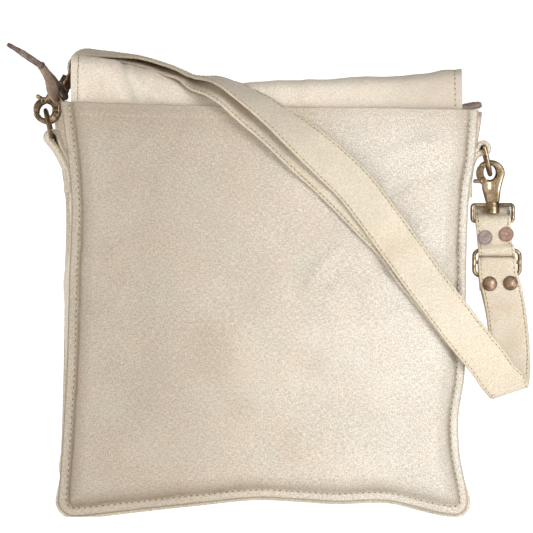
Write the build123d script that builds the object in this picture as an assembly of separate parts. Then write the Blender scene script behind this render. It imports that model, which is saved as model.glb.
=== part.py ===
from build123d import *
from math import cos, sin, radians
import os

# Canvas mail bag, standing on its base.
# Millimetres. +Z up, +X along the width, the back panel faces -Y and the flap hangs on the +Y side.
# Origin: on the floor, under the middle of the bag.

# ---- Driving dimensions ---------------------------------------------------------------------
CANVAS = 2.4                 # panel cloth: two plies sewn together
FLAP_CLOTH = 1.8
STRAP_T = 2.4
STRAP_W = 34.0
PANEL_HALF_W = 175.0         # front and back panels, out to the edge of the seam flange
PANEL_H = 345.0
PANEL_CORNER = 14.0
GUSSET_HALF_W = 167.5        # outer face of the side gussets
GUSSET_BASE_Z = 7.5          # outer face of the base gusset, above the flange that stands on the floor
GUSSET_TOP_Z = 341.0
GUSSET_JOIN_X = -9.0         # the two gusset strips meet here, under the base
GUSSET_CORNER = 12.0
GUSSET_LIP = 5.0             # seam allowance of that join, turned down
GUSSET_LIP_T = 1.2
HALF_DEPTH = 38.0            # outer faces of the front and back panels

FLAP_LEFT = -165.0
FLAP_RIGHT = 163.0
FLAP_ROOT_Z = 318.0          # sewn line behind the back panel's hem
FLAP_SPRING_Z = 346.0        # where the flap starts to arch over the top
FLAP_RISE = 20.0
FLAP_HEM_Z = 150.0           # lower edge at the front
FLAP_STANDOFF = 5.0          # the front hangs this far off the front panel
FLAP_FOLD_DEG = 52.0         # place on the arch where the front of the flap lifts
FLAP_FOLD_GAP_DEG = 1.2
FLAP_HEM_W = 14.0
FLAP_HEM_T = 1.0

ZIP_Y = -5.0
ZIP_Z = 345.6
ZIP_CLOTH = 1.0
ZIP_HALF_LEN = 160.0
ZIP_TAPE_W = 7.0
ZIP_TAPE_T = 0.6
TAPE_GAP_HALF = 1.6          # from the middle of the zip to each tape's edge
TOOTH_PITCH = 4.0
TOOTH_HALF = (0.8, 1.1)      # half sizes of a tooth along the zip and in height
STUB_END_X = -184.0
TAB_END_X = 180.5            # leather tab over the right-hand end of the zip
TAB_HALF_W = 9.0
TAB_HALF_T = 2.4
SLIDER_X = -173.5
SLIDER_HALF = (5.5, 6.2, 2.9)
BRIDGE_HOLE_RISE = 4.7       # hole for the pull's link, above the middle of the tapes
LINK_LEN = 7.4
LINK_HALF_W = 5.0
LINK_WIRE = 1.1
PULL_HALF_W = 3.7
PULL_ANGLE = 58.5            # the leather pull stands up from the slider at this angle
PULL_KNOT = 37.3             # from the slider's bridge to the middle of the knot
TAIL_ANGLE = 29.3            # the pointed tail bends over to this angle
TAIL_LEN = 33.3

RING_Y = 6.0                 # rings, hooks and strap ends sit on this plane
RING_WIRE = 1.8
RING_HALF_W = 15.0
RING_DEPTH = 23.2
LEFT_RING_BAR = (-184.5, 321.5)
LEFT_RING_APEX = (-189.9, 344.1)
RIGHT_RING_BAR = (183.5, 312.0)
RIGHT_RING_APEX = (188.9, 289.4)
RING_CORNER = 12.5
LOOP_HALF_W = 12.5
# Heights of each loop's sewn patch: its foot, its top, and where the arm to the ring leaves it
LOOP_SPANS = {"left": (274.0, 308.0, 281.0), "right": (270.0, 304.0, 294.0)}

EYE_WIRE = 1.6
EYE_BAR_DROP = 6.9           # strap bar of the swivel eye, below the collar's lower face
EYE_LENGTH = 14.0
EYE_HALF_W = 17.4
EYE_CORNER = 2.4
COLLAR_R = 5.8
COLLAR_H = 8.6
STEM_R = 3.0
STEM_HEAD_R = 4.1
RUNNING_GAP = 0.06
HOOK_T = 5.6
GATE_T = 4.2
JAW_CENTRE = (-2.0, 34.0)    # in the hook's own frame, as are the next five
JAW_HALF = (11.6, 10.6)
JAW_HOLE_CENTRE = (-2.5, 34.6)
JAW_HOLE_HALF = (5.8, 7.0)
PIN_PLACE = (-8.2, 27.6)
LEVER_END_X = -16.0
PIN_R = 0.8

RIGHT_SWIVEL = (191.0, 256.4)
LEFT_EYE_BAR = (-166.5, 378.0)
LEFT_HOOK_DIR = (-0.5, -0.866)

SLIDE_Y = 5.0
SLIDE_CENTRE = (194.6, 214.0)
SLIDE_HALF = (19.4, 10.7)
SLIDE_WIRE = 1.7
CENTRE_BAR_Z = 214.6

RIVET_R = 6.3
POST_R = 1.2
BURR_SPOTS = [(184.5, 235.6), (202.6, 238.4)]
DOME_SPOTS = [(188.4, 196.2), (206.0, 196.8)]
POST_HEAD_R = 2.8
POST_HEAD_T = 0.8
BURR_SEAT_Y = 3.3            # washers close on this face of the strap's upper end
BURR_T = 1.1
DOME_SEAT_Y = 0.58
DOME_R = 9.6                 # radius of the sphere that the cap is cut from
DOME_CENTRE_Y = 7.2

EYE_WRAP_R = 3.3             # middle of the strap, from the middle of the eye's bar
SLIDE_WRAP_R = 3.1


X_WAY, Y_WAY = (1, 0, 0), (0, 1, 0)


# ---- Small helpers --------------------------------------------------------------------------
def block(x0, x1, y0, y1, z0, z1):
    """A box given by its extents."""
    return Pos((x0 + x1) / 2, (y0 + y1) / 2, (z0 + z1) / 2) * Box(x1 - x0, y1 - y0, z1 - z0)


def rod(a, b, r):
    """A round bar from point a to point b."""
    a, b = Vector(*a), Vector(*b)
    way = b - a
    return Plane(origin=a, z_dir=way) * Cylinder(
        r, way.length, align=(Align.CENTER, Align.CENTER, Align.MIN)
    )


def wire_frame(half_w, low, high, corner, wire):
    """A rounded rectangle of round wire in the XZ plane, made of two halves."""
    halves = []
    for side in (-1, 1):
        w = side * half_w
        path = Plane.XZ * FilletPolyline((0, low), (w, low), (w, high), (0, high), radius=corner)
        start = Plane(origin=(0, 0, low), z_dir=(side, 0, 0))
        halves.append(sweep(start * Circle(wire), path=path))
    return halves[0] + halves[1]


def drill_y(x, z, r, y0, y1):
    """A round bar along Y, at the given X and Z."""
    return rod((x, y0, z), (x, y1, z), r)


def unit(v):
    size = (v[0] ** 2 + v[1] ** 2 + v[2] ** 2) ** 0.5
    return tuple(c / size for c in v)


def cross(a, b):
    return (a[1] * b[2] - a[2] * b[1], a[2] * b[0] - a[0] * b[2], a[0] * b[1] - a[1] * b[0])


def along(p, d, k):
    return tuple(p[i] + d[i] * k for i in range(3))


def ribbon(stations, thickness):
    """A flat strap through stations (centre, direction across the width, half width)."""
    sections = []
    for i, (centre, across, half) in enumerate(stations):
        before = stations[max(i - 1, 0)][0]
        after = stations[min(i + 1, len(stations) - 1)][0]
        way = unit(tuple(after[k] - before[k] for k in range(3)))
        w = unit(across)
        n = unit(cross(way, w))
        corners = [
            along(along(centre, w, su * half), n, sn * thickness / 2)
            for su, sn in ((-1, -1), (1, -1), (1, 1), (-1, 1))
        ]
        sections.append(Wire.make_polygon([Vector(*c) for c in corners], close=True))
    return Solid.make_loft(sections, ruled=True)


def yz_prism(outline, x0, x1):
    """An outline in Y and Z, drawn out along X."""
    face = make_face(outline)
    return extrude(face, amount=x1 - x0, dir=(1, 0, 0)).moved(Pos(x0, 0, 0))


# ---- Bag body -------------------------------------------------------------------------------
def panel(y0, y1):
    """Front or back panel: a flat sheet with rounded lower corners."""
    sheet = block(-PANEL_HALF_W, PANEL_HALF_W, y0, y1, 0, PANEL_H)
    low = [
        e for e in sheet.edges().filter_by(Axis.Y) if e.center().Z < 1
    ]
    return fillet(low, PANEL_CORNER)


def gusset_shell(half_w, depth, base_z, top_z, corner):
    """A solid block with rounded lower corners, from which the gusset is made."""
    shell = block(-half_w, half_w, -depth, depth, base_z, top_z)
    low = [e for e in shell.edges().filter_by(Axis.Y) if e.center().Z < 20]
    return fillet(low, corner)


def gusset():
    """The whole gusset: down one side, along the base and up the other side."""
    depth = HALF_DEPTH - CANVAS
    outer = gusset_shell(GUSSET_HALF_W, depth, GUSSET_BASE_Z, GUSSET_TOP_Z, GUSSET_CORNER)
    inner = gusset_shell(GUSSET_HALF_W - CANVAS, depth + 1, GUSSET_BASE_Z + CANVAS,
                         GUSSET_TOP_Z + 1, GUSSET_CORNER - CANVAS)
    return outer - inner


def gusset_strip(side):
    """One of the two strips, with its turned-down seam allowance under the base."""
    depth = HALF_DEPTH - CANVAS
    if side < 0:
        keep = block(-200, GUSSET_JOIN_X, -60, 60, 0, 400)
        x0, x1 = GUSSET_JOIN_X - GUSSET_LIP_T, GUSSET_JOIN_X
    else:
        keep = block(GUSSET_JOIN_X, 200, -60, 60, 0, 400)
        x0, x1 = GUSSET_JOIN_X, GUSSET_JOIN_X + GUSSET_LIP_T
    lip = block(x0, x1, -depth, depth, GUSSET_BASE_Z - GUSSET_LIP, GUSSET_BASE_Z + 1)
    return (gusset() & keep) + lip


# ---- Flap -----------------------------------------------------------------------------------
def arch_point(deg, offset=0.0):
    """A point on the flap's arch over the bag; 0 degrees at the front, 180 at the back."""
    back = -HALF_DEPTH + CANVAS + FLAP_CLOTH / 2
    front = HALF_DEPTH + FLAP_STANDOFF + FLAP_CLOTH / 2
    mid = (back + front) / 2
    half = (front - back) / 2
    t = radians(deg)
    y, z = mid + half * cos(t), FLAP_SPRING_Z + FLAP_RISE * sin(t)
    n = unit((0, cos(t) / half, sin(t) / FLAP_RISE))
    return (y + n[1] * offset, z + n[2] * offset)


def flap_sheet(from_deg, to_deg, tail_z):
    """A stretch of the flap's arch, with a straight tail down from one end of it."""
    steps = int(abs(to_deg - from_deg) / 8)
    degs = [from_deg + (to_deg - from_deg) * i / steps for i in range(steps + 1)]
    h = FLAP_CLOTH / 2
    outer = [arch_point(d, h) for d in degs]
    inner = [arch_point(d, -h) for d in degs]
    tail_out = (outer[-1][0], tail_z)
    tail_in = (inner[-1][0], tail_z)
    ring = outer + [tail_out, tail_in] + inner[::-1]
    outline = Polyline(*[(0, y, z) for y, z in ring], close=True)
    return yz_prism(outline, FLAP_LEFT, FLAP_RIGHT)


def flap_back():
    """Rear of the flap: sewn behind the hem and arched over the mouth of the bag."""
    return flap_sheet(FLAP_FOLD_DEG + FLAP_FOLD_GAP_DEG, 180.0, FLAP_ROOT_Z)


def flap_front():
    """Front of the flap, which lifts."""
    return flap_sheet(FLAP_FOLD_DEG, 0.0, FLAP_HEM_Z)


def flap_hem():
    """The doubled hem along the flap's lower edge, on its inner face."""
    y = arch_point(0, -FLAP_CLOTH / 2)[0]
    top = FLAP_HEM_Z + FLAP_HEM_W
    return block(FLAP_LEFT + 2, FLAP_RIGHT - 2, y - FLAP_HEM_T, y, FLAP_HEM_Z, top)


# ---- Zip ------------------------------------------------------------------------------------
def zip_panel(side):
    """Cloth strip between a panel's top and the zip tape; side -1 back, +1 front."""
    edge = arch_point(180)[0] + 1.6 if side < 0 else HALF_DEPTH - CANVAS - 0.6
    inner = ZIP_Y + side * 7.0
    y0, y1 = sorted((edge, inner))
    half = ZIP_HALF_LEN
    return block(-half, half, y0, y1, ZIP_Z - ZIP_CLOTH / 2, ZIP_Z + ZIP_CLOTH / 2)


def zip_tape(side):
    """Woven tape under the panel's inner edge."""
    edge = ZIP_Y + side * TAPE_GAP_HALF
    y0, y1 = sorted((edge, edge + side * ZIP_TAPE_W))
    top = ZIP_Z - ZIP_CLOTH / 2
    return block(-ZIP_HALF_LEN, ZIP_HALF_LEN, y0, y1, top - ZIP_TAPE_T, top)


def zip_teeth(side):
    """Metal teeth clamped on the tape's edge; the two rows stand half a pitch apart."""
    count = int(2 * ZIP_HALF_LEN / TOOTH_PITCH) - 1
    first = -ZIP_HALF_LEN + TOOTH_PITCH * (0.75 if side < 0 else 1.25)
    y0, y1 = sorted((ZIP_Y + side * TAPE_GAP_HALF, ZIP_Y - side * 1.1))
    z = ZIP_Z - ZIP_CLOTH / 2 - ZIP_TAPE_T / 2
    half_x, half_z = TOOTH_HALF
    tooth = block(-half_x, half_x, y0, y1, z - half_z, z + half_z)
    return Compound(children=[Pos(first + i * TOOTH_PITCH, 0, 0) * tooth for i in range(count)])


def zip_end_stub():
    """Closed end of both tapes, running out over the left gusset under the slider."""
    z = ZIP_Z - ZIP_CLOTH / 2
    return block(STUB_END_X, -ZIP_HALF_LEN - 1.0, ZIP_Y - 5.0, ZIP_Y + 5.0, z - 2 * ZIP_TAPE_T, z)


def zip_end_tab():
    """Leather tab folded over the right-hand end of the tapes."""
    w, t = TAB_HALF_W, TAB_HALF_T
    tab = block(ZIP_HALF_LEN + 2.0, TAB_END_X, ZIP_Y - w, ZIP_Y + w, ZIP_Z - t, ZIP_Z + t)
    return fillet(tab.edges().filter_by(Axis.Z).group_by(Axis.X)[-1], 4.0)


def zip_slider():
    """Slider body with its bridge, riding round the tapes."""
    z = ZIP_Z - ZIP_CLOTH / 2 - ZIP_TAPE_T
    w, d, h = SLIDER_HALF
    body = block(SLIDER_X - w, SLIDER_X + w, ZIP_Y - d, ZIP_Y + d, z - h, z + h)
    body = fillet(body.edges().filter_by(Axis.Z), 2.0)
    body -= block(SLIDER_X - 7, SLIDER_X + 7, ZIP_Y - 5.4, ZIP_Y + 5.4, z - 1.6, z + 1.6)
    bridge = block(SLIDER_X - 3.2, SLIDER_X + 3.2, ZIP_Y - 1.2, ZIP_Y + 1.2, z + 2.8, z + 7.2)
    bridge -= drill_y(SLIDER_X, z + BRIDGE_HOLE_RISE, 1.5, ZIP_Y - 3, ZIP_Y + 3)
    return body + bridge


def pull_pivot():
    """Middle of the link in the slider's bridge, as X and Z."""
    return (SLIDER_X, ZIP_Z - ZIP_CLOTH / 2 - ZIP_TAPE_T + BRIDGE_HOLE_RISE)


def pull_place(angle=PULL_ANGLE, start=None):
    """Frame of a stretch of the leather pull: +X along it away from the slider, +Z across it."""
    x, z = start or pull_pivot()
    a = radians(angle)
    return Plane(origin=(x, ZIP_Y, z), x_dir=(-cos(a), 0, sin(a)), z_dir=(sin(a), 0, cos(a)))


def pull_link():
    """Wire link through the slider's bridge, on which the leather hangs."""
    w, r = LINK_HALF_W, LINK_WIRE
    link = rod((0, -w, 0), (0, w, 0), r)
    for y in (-w, w):
        link += rod((0, y, 0), (LINK_LEN, y, 0), r)
        link += Pos(0, y, 0) * Sphere(r)
        link += Pos(LINK_LEN, y, 0) * Sphere(r)
    link += rod((LINK_LEN, -w, 0), (LINK_LEN, w, 0), r)
    return pull_place() * link


def leather_strip(edge, half):
    """A closed strip, symmetrical about its own +X, from (place, half thickness) pairs."""
    upper = [(x, 0, z) for x, z in edge]
    lower = [(x, 0, -z) for x, z in edge[::-1]]
    face = make_face(Polyline(*upper, *lower, close=True))
    return Pos(0, half, 0) * extrude(face, amount=2 * half, dir=(0, -1, 0))


def zip_pull():
    """Leather strip looped round the link, threaded through its own slit, with a pointed tail."""
    half = PULL_HALF_W
    body = leather_strip([(5.2, 2.2), (11, 5.2), (20, 5.4), (PULL_KNOT, 2.6)], half)
    body -= leather_strip([(8.4, 1.4), (14, 3.0), (22, 3.1), (30, 0.6)], half + 1)
    body -= rod((LINK_LEN, -9, 0), (LINK_LEN, 9, 0), LINK_WIRE + 0.4)
    body += Pos(PULL_KNOT, 0, 0) * Box(5.5, 2 * half + 2.4, 8.0)
    x, z = pull_pivot()
    a = radians(PULL_ANGLE)
    knot = (x - PULL_KNOT * cos(a), z + PULL_KNOT * sin(a))
    tail = leather_strip([(-1.5, 2.4), (14, 2.2), (TAIL_LEN, 0.8)], half)
    return pull_place() * body + pull_place(TAIL_ANGLE, knot) * tail


# ---- Rings and their loops ------------------------------------------------------------------
def ring_place(bar, apex):
    """Frame of a ring: origin on its straight bar, +X along the bar, +Y towards the apex."""
    way = (apex[0] - bar[0], 0, apex[1] - bar[1])
    z_dir = cross((0, 1, 0), unit(way))
    return Plane(origin=(bar[0], RING_Y, bar[1]), x_dir=(0, 1, 0), z_dir=z_dir)


def d_ring(bar, apex):
    """Cast D ring: straight bar and bow of one round wire."""
    w, d = RING_HALF_W, RING_DEPTH
    bow = FilletPolyline((-w, 0), (-w, d), (w, d), (w, 0), radius=RING_CORNER)
    start = Plane(origin=(-w, 0, 0), z_dir=(0, 1, 0))
    ring = sweep(start * Circle(RING_WIRE), path=bow)
    ring += rod((-w, 0, 0), (w, 0, 0), RING_WIRE)
    for x in (-w, w):
        ring += Pos(x, 0, 0) * Sphere(RING_WIRE)
    return ring_place(bar, apex) * ring


def loop_tab(side, bar, span):
    """Canvas loop sewn on the gusset, doubled round the ring's straight bar."""
    wall = side * (GUSSET_HALF_W + 0.01)
    x, z = bar
    low, high, arm = span
    patch = wall + side * CANVAS
    outline = Polyline((wall, 0, low), (wall, 0, high), (x - side * 3.6, 0, z + 2.8),
                       (x + side * 2.0, 0, z - 4.0), (patch, 0, arm), (patch, 0, low), close=True)
    tab = extrude(make_face(outline), amount=2 * LOOP_HALF_W, dir=(0, 1, 0))
    tab = Pos(0, RING_Y - LOOP_HALF_W, 0) * tab
    tab += rod((x, RING_Y - LOOP_HALF_W, z), (x, RING_Y + LOOP_HALF_W, z), RING_WIRE + 2.9)
    tab -= rod((x, RING_Y - 30, z), (x, RING_Y + 30, z), RING_WIRE + 0.4)
    return tab


# ---- Swivel snap hooks ----------------------------------------------------------------------
def hook_places():
    """Frames of the two hooks: origin under the collar, +Z towards the jaw, -X the gate side."""
    swivel_x, swivel_z = RIGHT_SWIVEL
    right = Plane(origin=(swivel_x, RING_Y, swivel_z), x_dir=(1, 0, 0), z_dir=(0, 0, 1))
    dx, dz = LEFT_HOOK_DIR
    bar_x, bar_z = LEFT_EYE_BAR
    origin = (bar_x + dx * EYE_BAR_DROP, RING_Y, bar_z + dz * EYE_BAR_DROP)
    left = Plane(origin=origin, x_dir=(-dz, 0, dx), z_dir=(dx, 0, dz))
    return {"left": left, "right": right}


def eye_places():
    """Frames of the two eyes: the strap bar lies along +X."""
    places = hook_places()
    left = places["left"]
    return {
        "left": Plane(origin=left.origin, x_dir=Y_WAY, z_dir=left.z_dir),
        "right": places["right"],
    }


def peg(r, foot, height):
    """A round peg on the local Z axis, standing on `foot`."""
    return Pos(0, 0, foot) * Cylinder(r, height, align=(Align.CENTER, Align.CENTER, Align.MIN))


def swivel_eye():
    """Rounded rectangular eye for the strap, with the collar in which the hook turns."""
    top = EYE_LENGTH - EYE_BAR_DROP
    eye = wire_frame(EYE_HALF_W, -EYE_BAR_DROP, top, EYE_CORNER, EYE_WIRE)
    eye += peg(COLLAR_R, 0, COLLAR_H)
    eye -= peg(STEM_R + RUNNING_GAP, -1, 12)
    eye -= peg(STEM_HEAD_R + 0.2, -0.1, 1.9)
    return eye


def hook_outline():
    """Side view of the cast hook without its gate: body, jaw and the hole in the jaw."""
    foot = Polyline((-5.0, 9.0), (5.0, 9.0), (6.0, 20.0), (8.6, 30.0), (0.0, 32.0),
                    (-8.5, 25.6), (-8.0, 20.0), close=True)
    body = Plane.XZ * make_face(foot)
    jaw = Plane.XZ * (Pos(*JAW_CENTRE) * Ellipse(*JAW_HALF))
    hole = Plane.XZ * (Pos(*JAW_HOLE_CENTRE) * Ellipse(*JAW_HOLE_HALF))
    return body, jaw, hole


def pin_rod(r, half):
    """A round bar on the gate's pin axis, reaching `half` to each side of the hook."""
    x, z = PIN_PLACE
    return rod((x, -half, z), (x, half, z), r)


def snap_hook():
    """Cast hook: swivel stem, body and a round jaw that is open on the gate side."""
    body, jaw, hole = hook_outline()
    t = HOOK_T
    x, z = PIN_PLACE
    solid = extrude(body, amount=t / 2, both=True) + extrude(jaw, amount=t / 2, both=True)
    solid -= extrude(hole, amount=t, both=True)
    solid -= block(-20, -5.4, -t, t, 26.2, 40.4)
    solid -= pin_rod(3.0, t)
    solid += peg(STEM_R, 0.2, 9.4) + peg(STEM_HEAD_R, 0.2, 1.4)
    near, far = GATE_T / 2 + 0.35, t / 2 + 0.6
    for y in (-1, 1):
        cheek = rod((x, y * near, z), (x, y * far, z), 3.0)
        y0, y1 = sorted((y * near, y * far))
        solid += cheek + block(x, -3.0, y0, y1, 20.0, 27.0)
    solid -= pin_rod(PIN_R, 9)
    solid -= block(-4.6, -3.4, -1.6, 1.6, 13.0, 26.0)
    return solid


def hook_gate():
    """Gate with its thumb lever, turning on the pin at the foot of the jaw."""
    _, jaw, hole = hook_outline()
    t = GATE_T
    x = PIN_PLACE[0]
    gate = extrude(jaw, amount=t / 2, both=True) - extrude(hole, amount=t, both=True)
    gate &= block(-20, -5.9, -t, t, 27.6, 39.9)
    gate += pin_rod(2.6, t / 2)
    gate += block(LEVER_END_X, x, -t / 2, t / 2, 26.0, 28.6)
    gate -= pin_rod(PIN_R + RUNNING_GAP, 9)
    return gate


def gate_pin():
    """Pin riveted through both cheeks of the hook."""
    return pin_rod(PIN_R, HOOK_T / 2 + 0.6)


def gate_spring():
    """Leaf spring in the slot behind the gate."""
    return block(-4.3, -3.9, -1.4, 1.4, 13.2, 24.0)


# ---- Strap ----------------------------------------------------------------------------------
FOLD = (199.4, -33.0, 107.4)          # middle of the crease at the bottom of the strap
CREASE = (0.943, 0.0, 0.334)
FOLD_HALF = STRAP_W / 2 / 0.943
ACROSS = (0.777, 0.0, 0.63)           # across the strap on the back panel
HALF = STRAP_W / 2
NARROW = 14.4                         # half width where the strap is gathered into an eye
SLIDE_FIT = 16.4
OUTER_FOLD_R, INNER_FOLD_R = 4.2, 1.5

# Over the back panel and the top of the bag: middle of the strap, and the way across it.
OUTER_ROUTE = [
    ((193.0, -42.6, 118.6), (0.92, 0, 0.39)), ((186.0, -43.2, 129.0), (0.85, 0, 0.53)),
    ((171.0, -43.2, 147.0), ACROSS), ((143.0, -43.2, 186.0), ACROSS),
    ((109.0, -43.2, 226.0), ACROSS), ((87.0, -43.2, 254.0), ACROSS),
    ((60.0, -43.2, 284.0), ACROSS), ((34.0, -43.4, 311.0), ACROSS),
    ((11.0, -43.6, 330.5), (0.72, 0, 0.69)), ((-14.0, -44.9, 347.0), (0.60, 0.04, 0.80)),
    ((-38.0, -40.4, 361.5), (0.40, 0.45, 0.80)), ((-62.0, -25.0, 374.0), (0.22, 0.80, 0.55)),
    ((-88.0, -9.0, 383.5), (0.08, 0.97, 0.20)), ((-115.0, 2.0, 389.0), Y_WAY),
    ((-140.0, RING_Y, 392.0), Y_WAY), ((-154.0, RING_Y, 392.6), Y_WAY),
    ((-162.0, RING_Y, 390.6), Y_WAY), ((-167.8, RING_Y, 385.6), Y_WAY),
]
INNER_ROUTE = [
    ((-158.4, RING_Y, 383.2), Y_WAY), ((-146.0, RING_Y, 386.4), Y_WAY),
    ((-120.0, 3.0, 383.4), (0, 1, 0.05)), ((-98.0, -6.0, 377.0), (0.05, 0.98, 0.20)),
    ((-76.0, -19.5, 368.0), (0.15, 0.86, 0.48)), ((-54.0, -34.4, 357.4), (0.35, 0.60, 0.72)),
    ((-32.0, -41.0, 343.4), (0.55, 0.10, 0.83)), ((-10.0, -40.6, 327.0), (0.70, 0, 0.71)),
    ((8.0, -40.4, 312.0), ACROSS), ((30.0, -40.2, 297.0), ACROSS),
    ((54.0, -40.2, 275.0), ACROSS), ((80.0, -40.2, 250.0), ACROSS),
    ((108.0, -40.2, 225.0), ACROSS), ((143.0, -40.2, 186.0), ACROSS),
    ((171.0, -40.2, 147.0), ACROSS), ((186.0, -40.2, 129.0), (0.85, 0, 0.53)),
    ((193.0, -39.6, 118.6), (0.92, 0, 0.39)),
]


def crease_turn(radius, upward):
    """Stations of a layer as it turns back on itself round the crease."""
    degs = (-90, -45, 0, 45, 90) if upward else (90, 45, 0, -45, -90)
    out = []
    for deg in degs:
        t = radians(deg)
        drop = (CREASE[2] * radius * cos(t), 0, -CREASE[0] * radius * cos(t))
        point = (FOLD[0] + drop[0], FOLD[1] + radius * sin(t), FOLD[2] + drop[2])
        out.append((point, CREASE, FOLD_HALF))
    return out


def around_bar(bar, degs, radius, half, along_x):
    """Stations round a bar that lies along X or Y; 0 degrees is towards +Y or +X."""
    out = []
    for deg in degs:
        t = radians(deg)
        side, rise = radius * cos(t), radius * sin(t)
        if along_x:
            out.append(((bar[0], bar[1] + side, bar[2] + rise), X_WAY, half))
        else:
            out.append(((bar[0] + side, bar[1], bar[2] + rise), Y_WAY, half))
    return out


def strap_outer_run():
    """From the riveted end in the right eye, down, over the back and to the left eye."""
    right_bar = (RIGHT_SWIVEL[0], RING_Y, RIGHT_SWIVEL[1] - EYE_BAR_DROP)
    left_bar = (LEFT_EYE_BAR[0], RING_Y, LEFT_EYE_BAR[1])
    stations = [((192.6, 7.4, 229.5), X_WAY, NARROW), ((191.6, 7.4, 245.2), X_WAY, NARROW)]
    stations += around_bar(right_bar, (0, 45, 90, 135, 180), EYE_WRAP_R, NARROW, along_x=True)
    stations += [((191.6, 4.6, 245.2), X_WAY, NARROW), ((193.0, 4.6, 229.0), X_WAY, NARROW)]
    # under the upper bar of the slide, over its middle bar and down past the rivets
    stations += [((193.8, 1.5, 226.0), X_WAY, 15.6), ((194.4, 1.9, 222.8), X_WAY, 15.6)]
    stations += [((194.6, 5.2, 220.9), X_WAY, 15.6), ((194.6, 9.6, 219.2), X_WAY, 15.8)]
    stations += [((194.8, 11.4, 213.0), X_WAY, 16.4), ((195.6, 12.0, 203.0), X_WAY, 16.6)]
    stations += [((196.4, 10.8, 194.0), X_WAY, 16.8), ((198.6, -1.0, 168.0), X_WAY, HALF)]
    stations += [((199.6, -16.6, 134.0), (1, 0, 0.12), HALF)]
    stations += crease_turn(OUTER_FOLD_R, upward=False)
    stations += [(centre, across, HALF) for centre, across in OUTER_ROUTE]
    stations += around_bar(left_bar, (170, 210, 248), EYE_WRAP_R, NARROW, along_x=False)
    return ribbon(stations, STRAP_T)


def strap_inner_run():
    """Back from the left eye under the first run, to the fold riveted round the slide."""
    left_bar = (LEFT_EYE_BAR[0], RING_Y, LEFT_EYE_BAR[1])
    slide_bar = (SLIDE_CENTRE[0] + 0.2, SLIDE_Y, CENTRE_BAR_Z)
    stations = around_bar(left_bar, (272, 310, 345), EYE_WRAP_R, NARROW, along_x=False)
    stations += [(centre, across, HALF) for centre, across in INNER_ROUTE]
    stations += crease_turn(INNER_FOLD_R, upward=True)
    stations += [((199.6, -19.8, 134.0), (1, 0, 0.12), HALF), ((198.6, -5.6, 168.0), X_WAY, HALF)]
    stations += [((197.4, 1.8, 190.0), X_WAY, HALF), ((195.6, 1.8, 203.0), X_WAY, SLIDE_FIT)]
    stations += around_bar(slide_bar, (180, 135, 90, 45, 0), SLIDE_WRAP_R, SLIDE_FIT, along_x=True)
    stations += [((195.2, 8.9, 204.6), X_WAY, SLIDE_FIT), ((195.8, 6.9, 199.6), X_WAY, SLIDE_FIT)]
    stations += [((196.2, 6.9, 191.0), X_WAY, SLIDE_FIT)]
    return ribbon(stations, STRAP_T)


def slide_adjuster():
    """Rounded wire frame with a middle bar that the strap's end is folded round."""
    w, h = SLIDE_HALF
    cx, cz = SLIDE_CENTRE
    frame = wire_frame(w, -h, h, 5.0, SLIDE_WIRE)
    bar_z = CENTRE_BAR_Z - cz
    frame += rod((-w, 0, bar_z), (w, 0, bar_z), 1.5)
    return Pos(cx, SLIDE_Y, cz) * frame


def rivet_posts(spots, y0, y1, head_y):
    """Solid rivets: a post through the cloth and a flat head on the far side."""
    out = []
    for x, z in spots:
        post = drill_y(x, z, POST_R, y0, y1)
        head = drill_y(x, z, POST_HEAD_R, head_y, head_y + POST_HEAD_T)
        out.append(post + head)
    return Compound(children=out)


def burrs():
    """Flat washers closed over the posts on the outside of the strap's end."""
    out = []
    for x, z in BURR_SPOTS:
        disc = drill_y(x, z, RIVET_R, BURR_SEAT_Y - BURR_T, BURR_SEAT_Y)
        out.append(disc - drill_y(x, z, POST_R, BURR_SEAT_Y - 2, BURR_SEAT_Y + 1))
    return Compound(children=out)


def domes():
    """Domed caps on the strap's other end."""
    out = []
    for x, z in DOME_SPOTS:
        ball = Pos(x, DOME_CENTRE_Y, z) * Sphere(DOME_R)
        cap = ball & drill_y(x, z, RIVET_R, -4.0, DOME_SEAT_Y)
        cap -= drill_y(x, z, POST_R, DOME_SEAT_Y - 1.4, DOME_SEAT_Y + 1)
        out.append(cap)
    return Compound(children=out)


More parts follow.
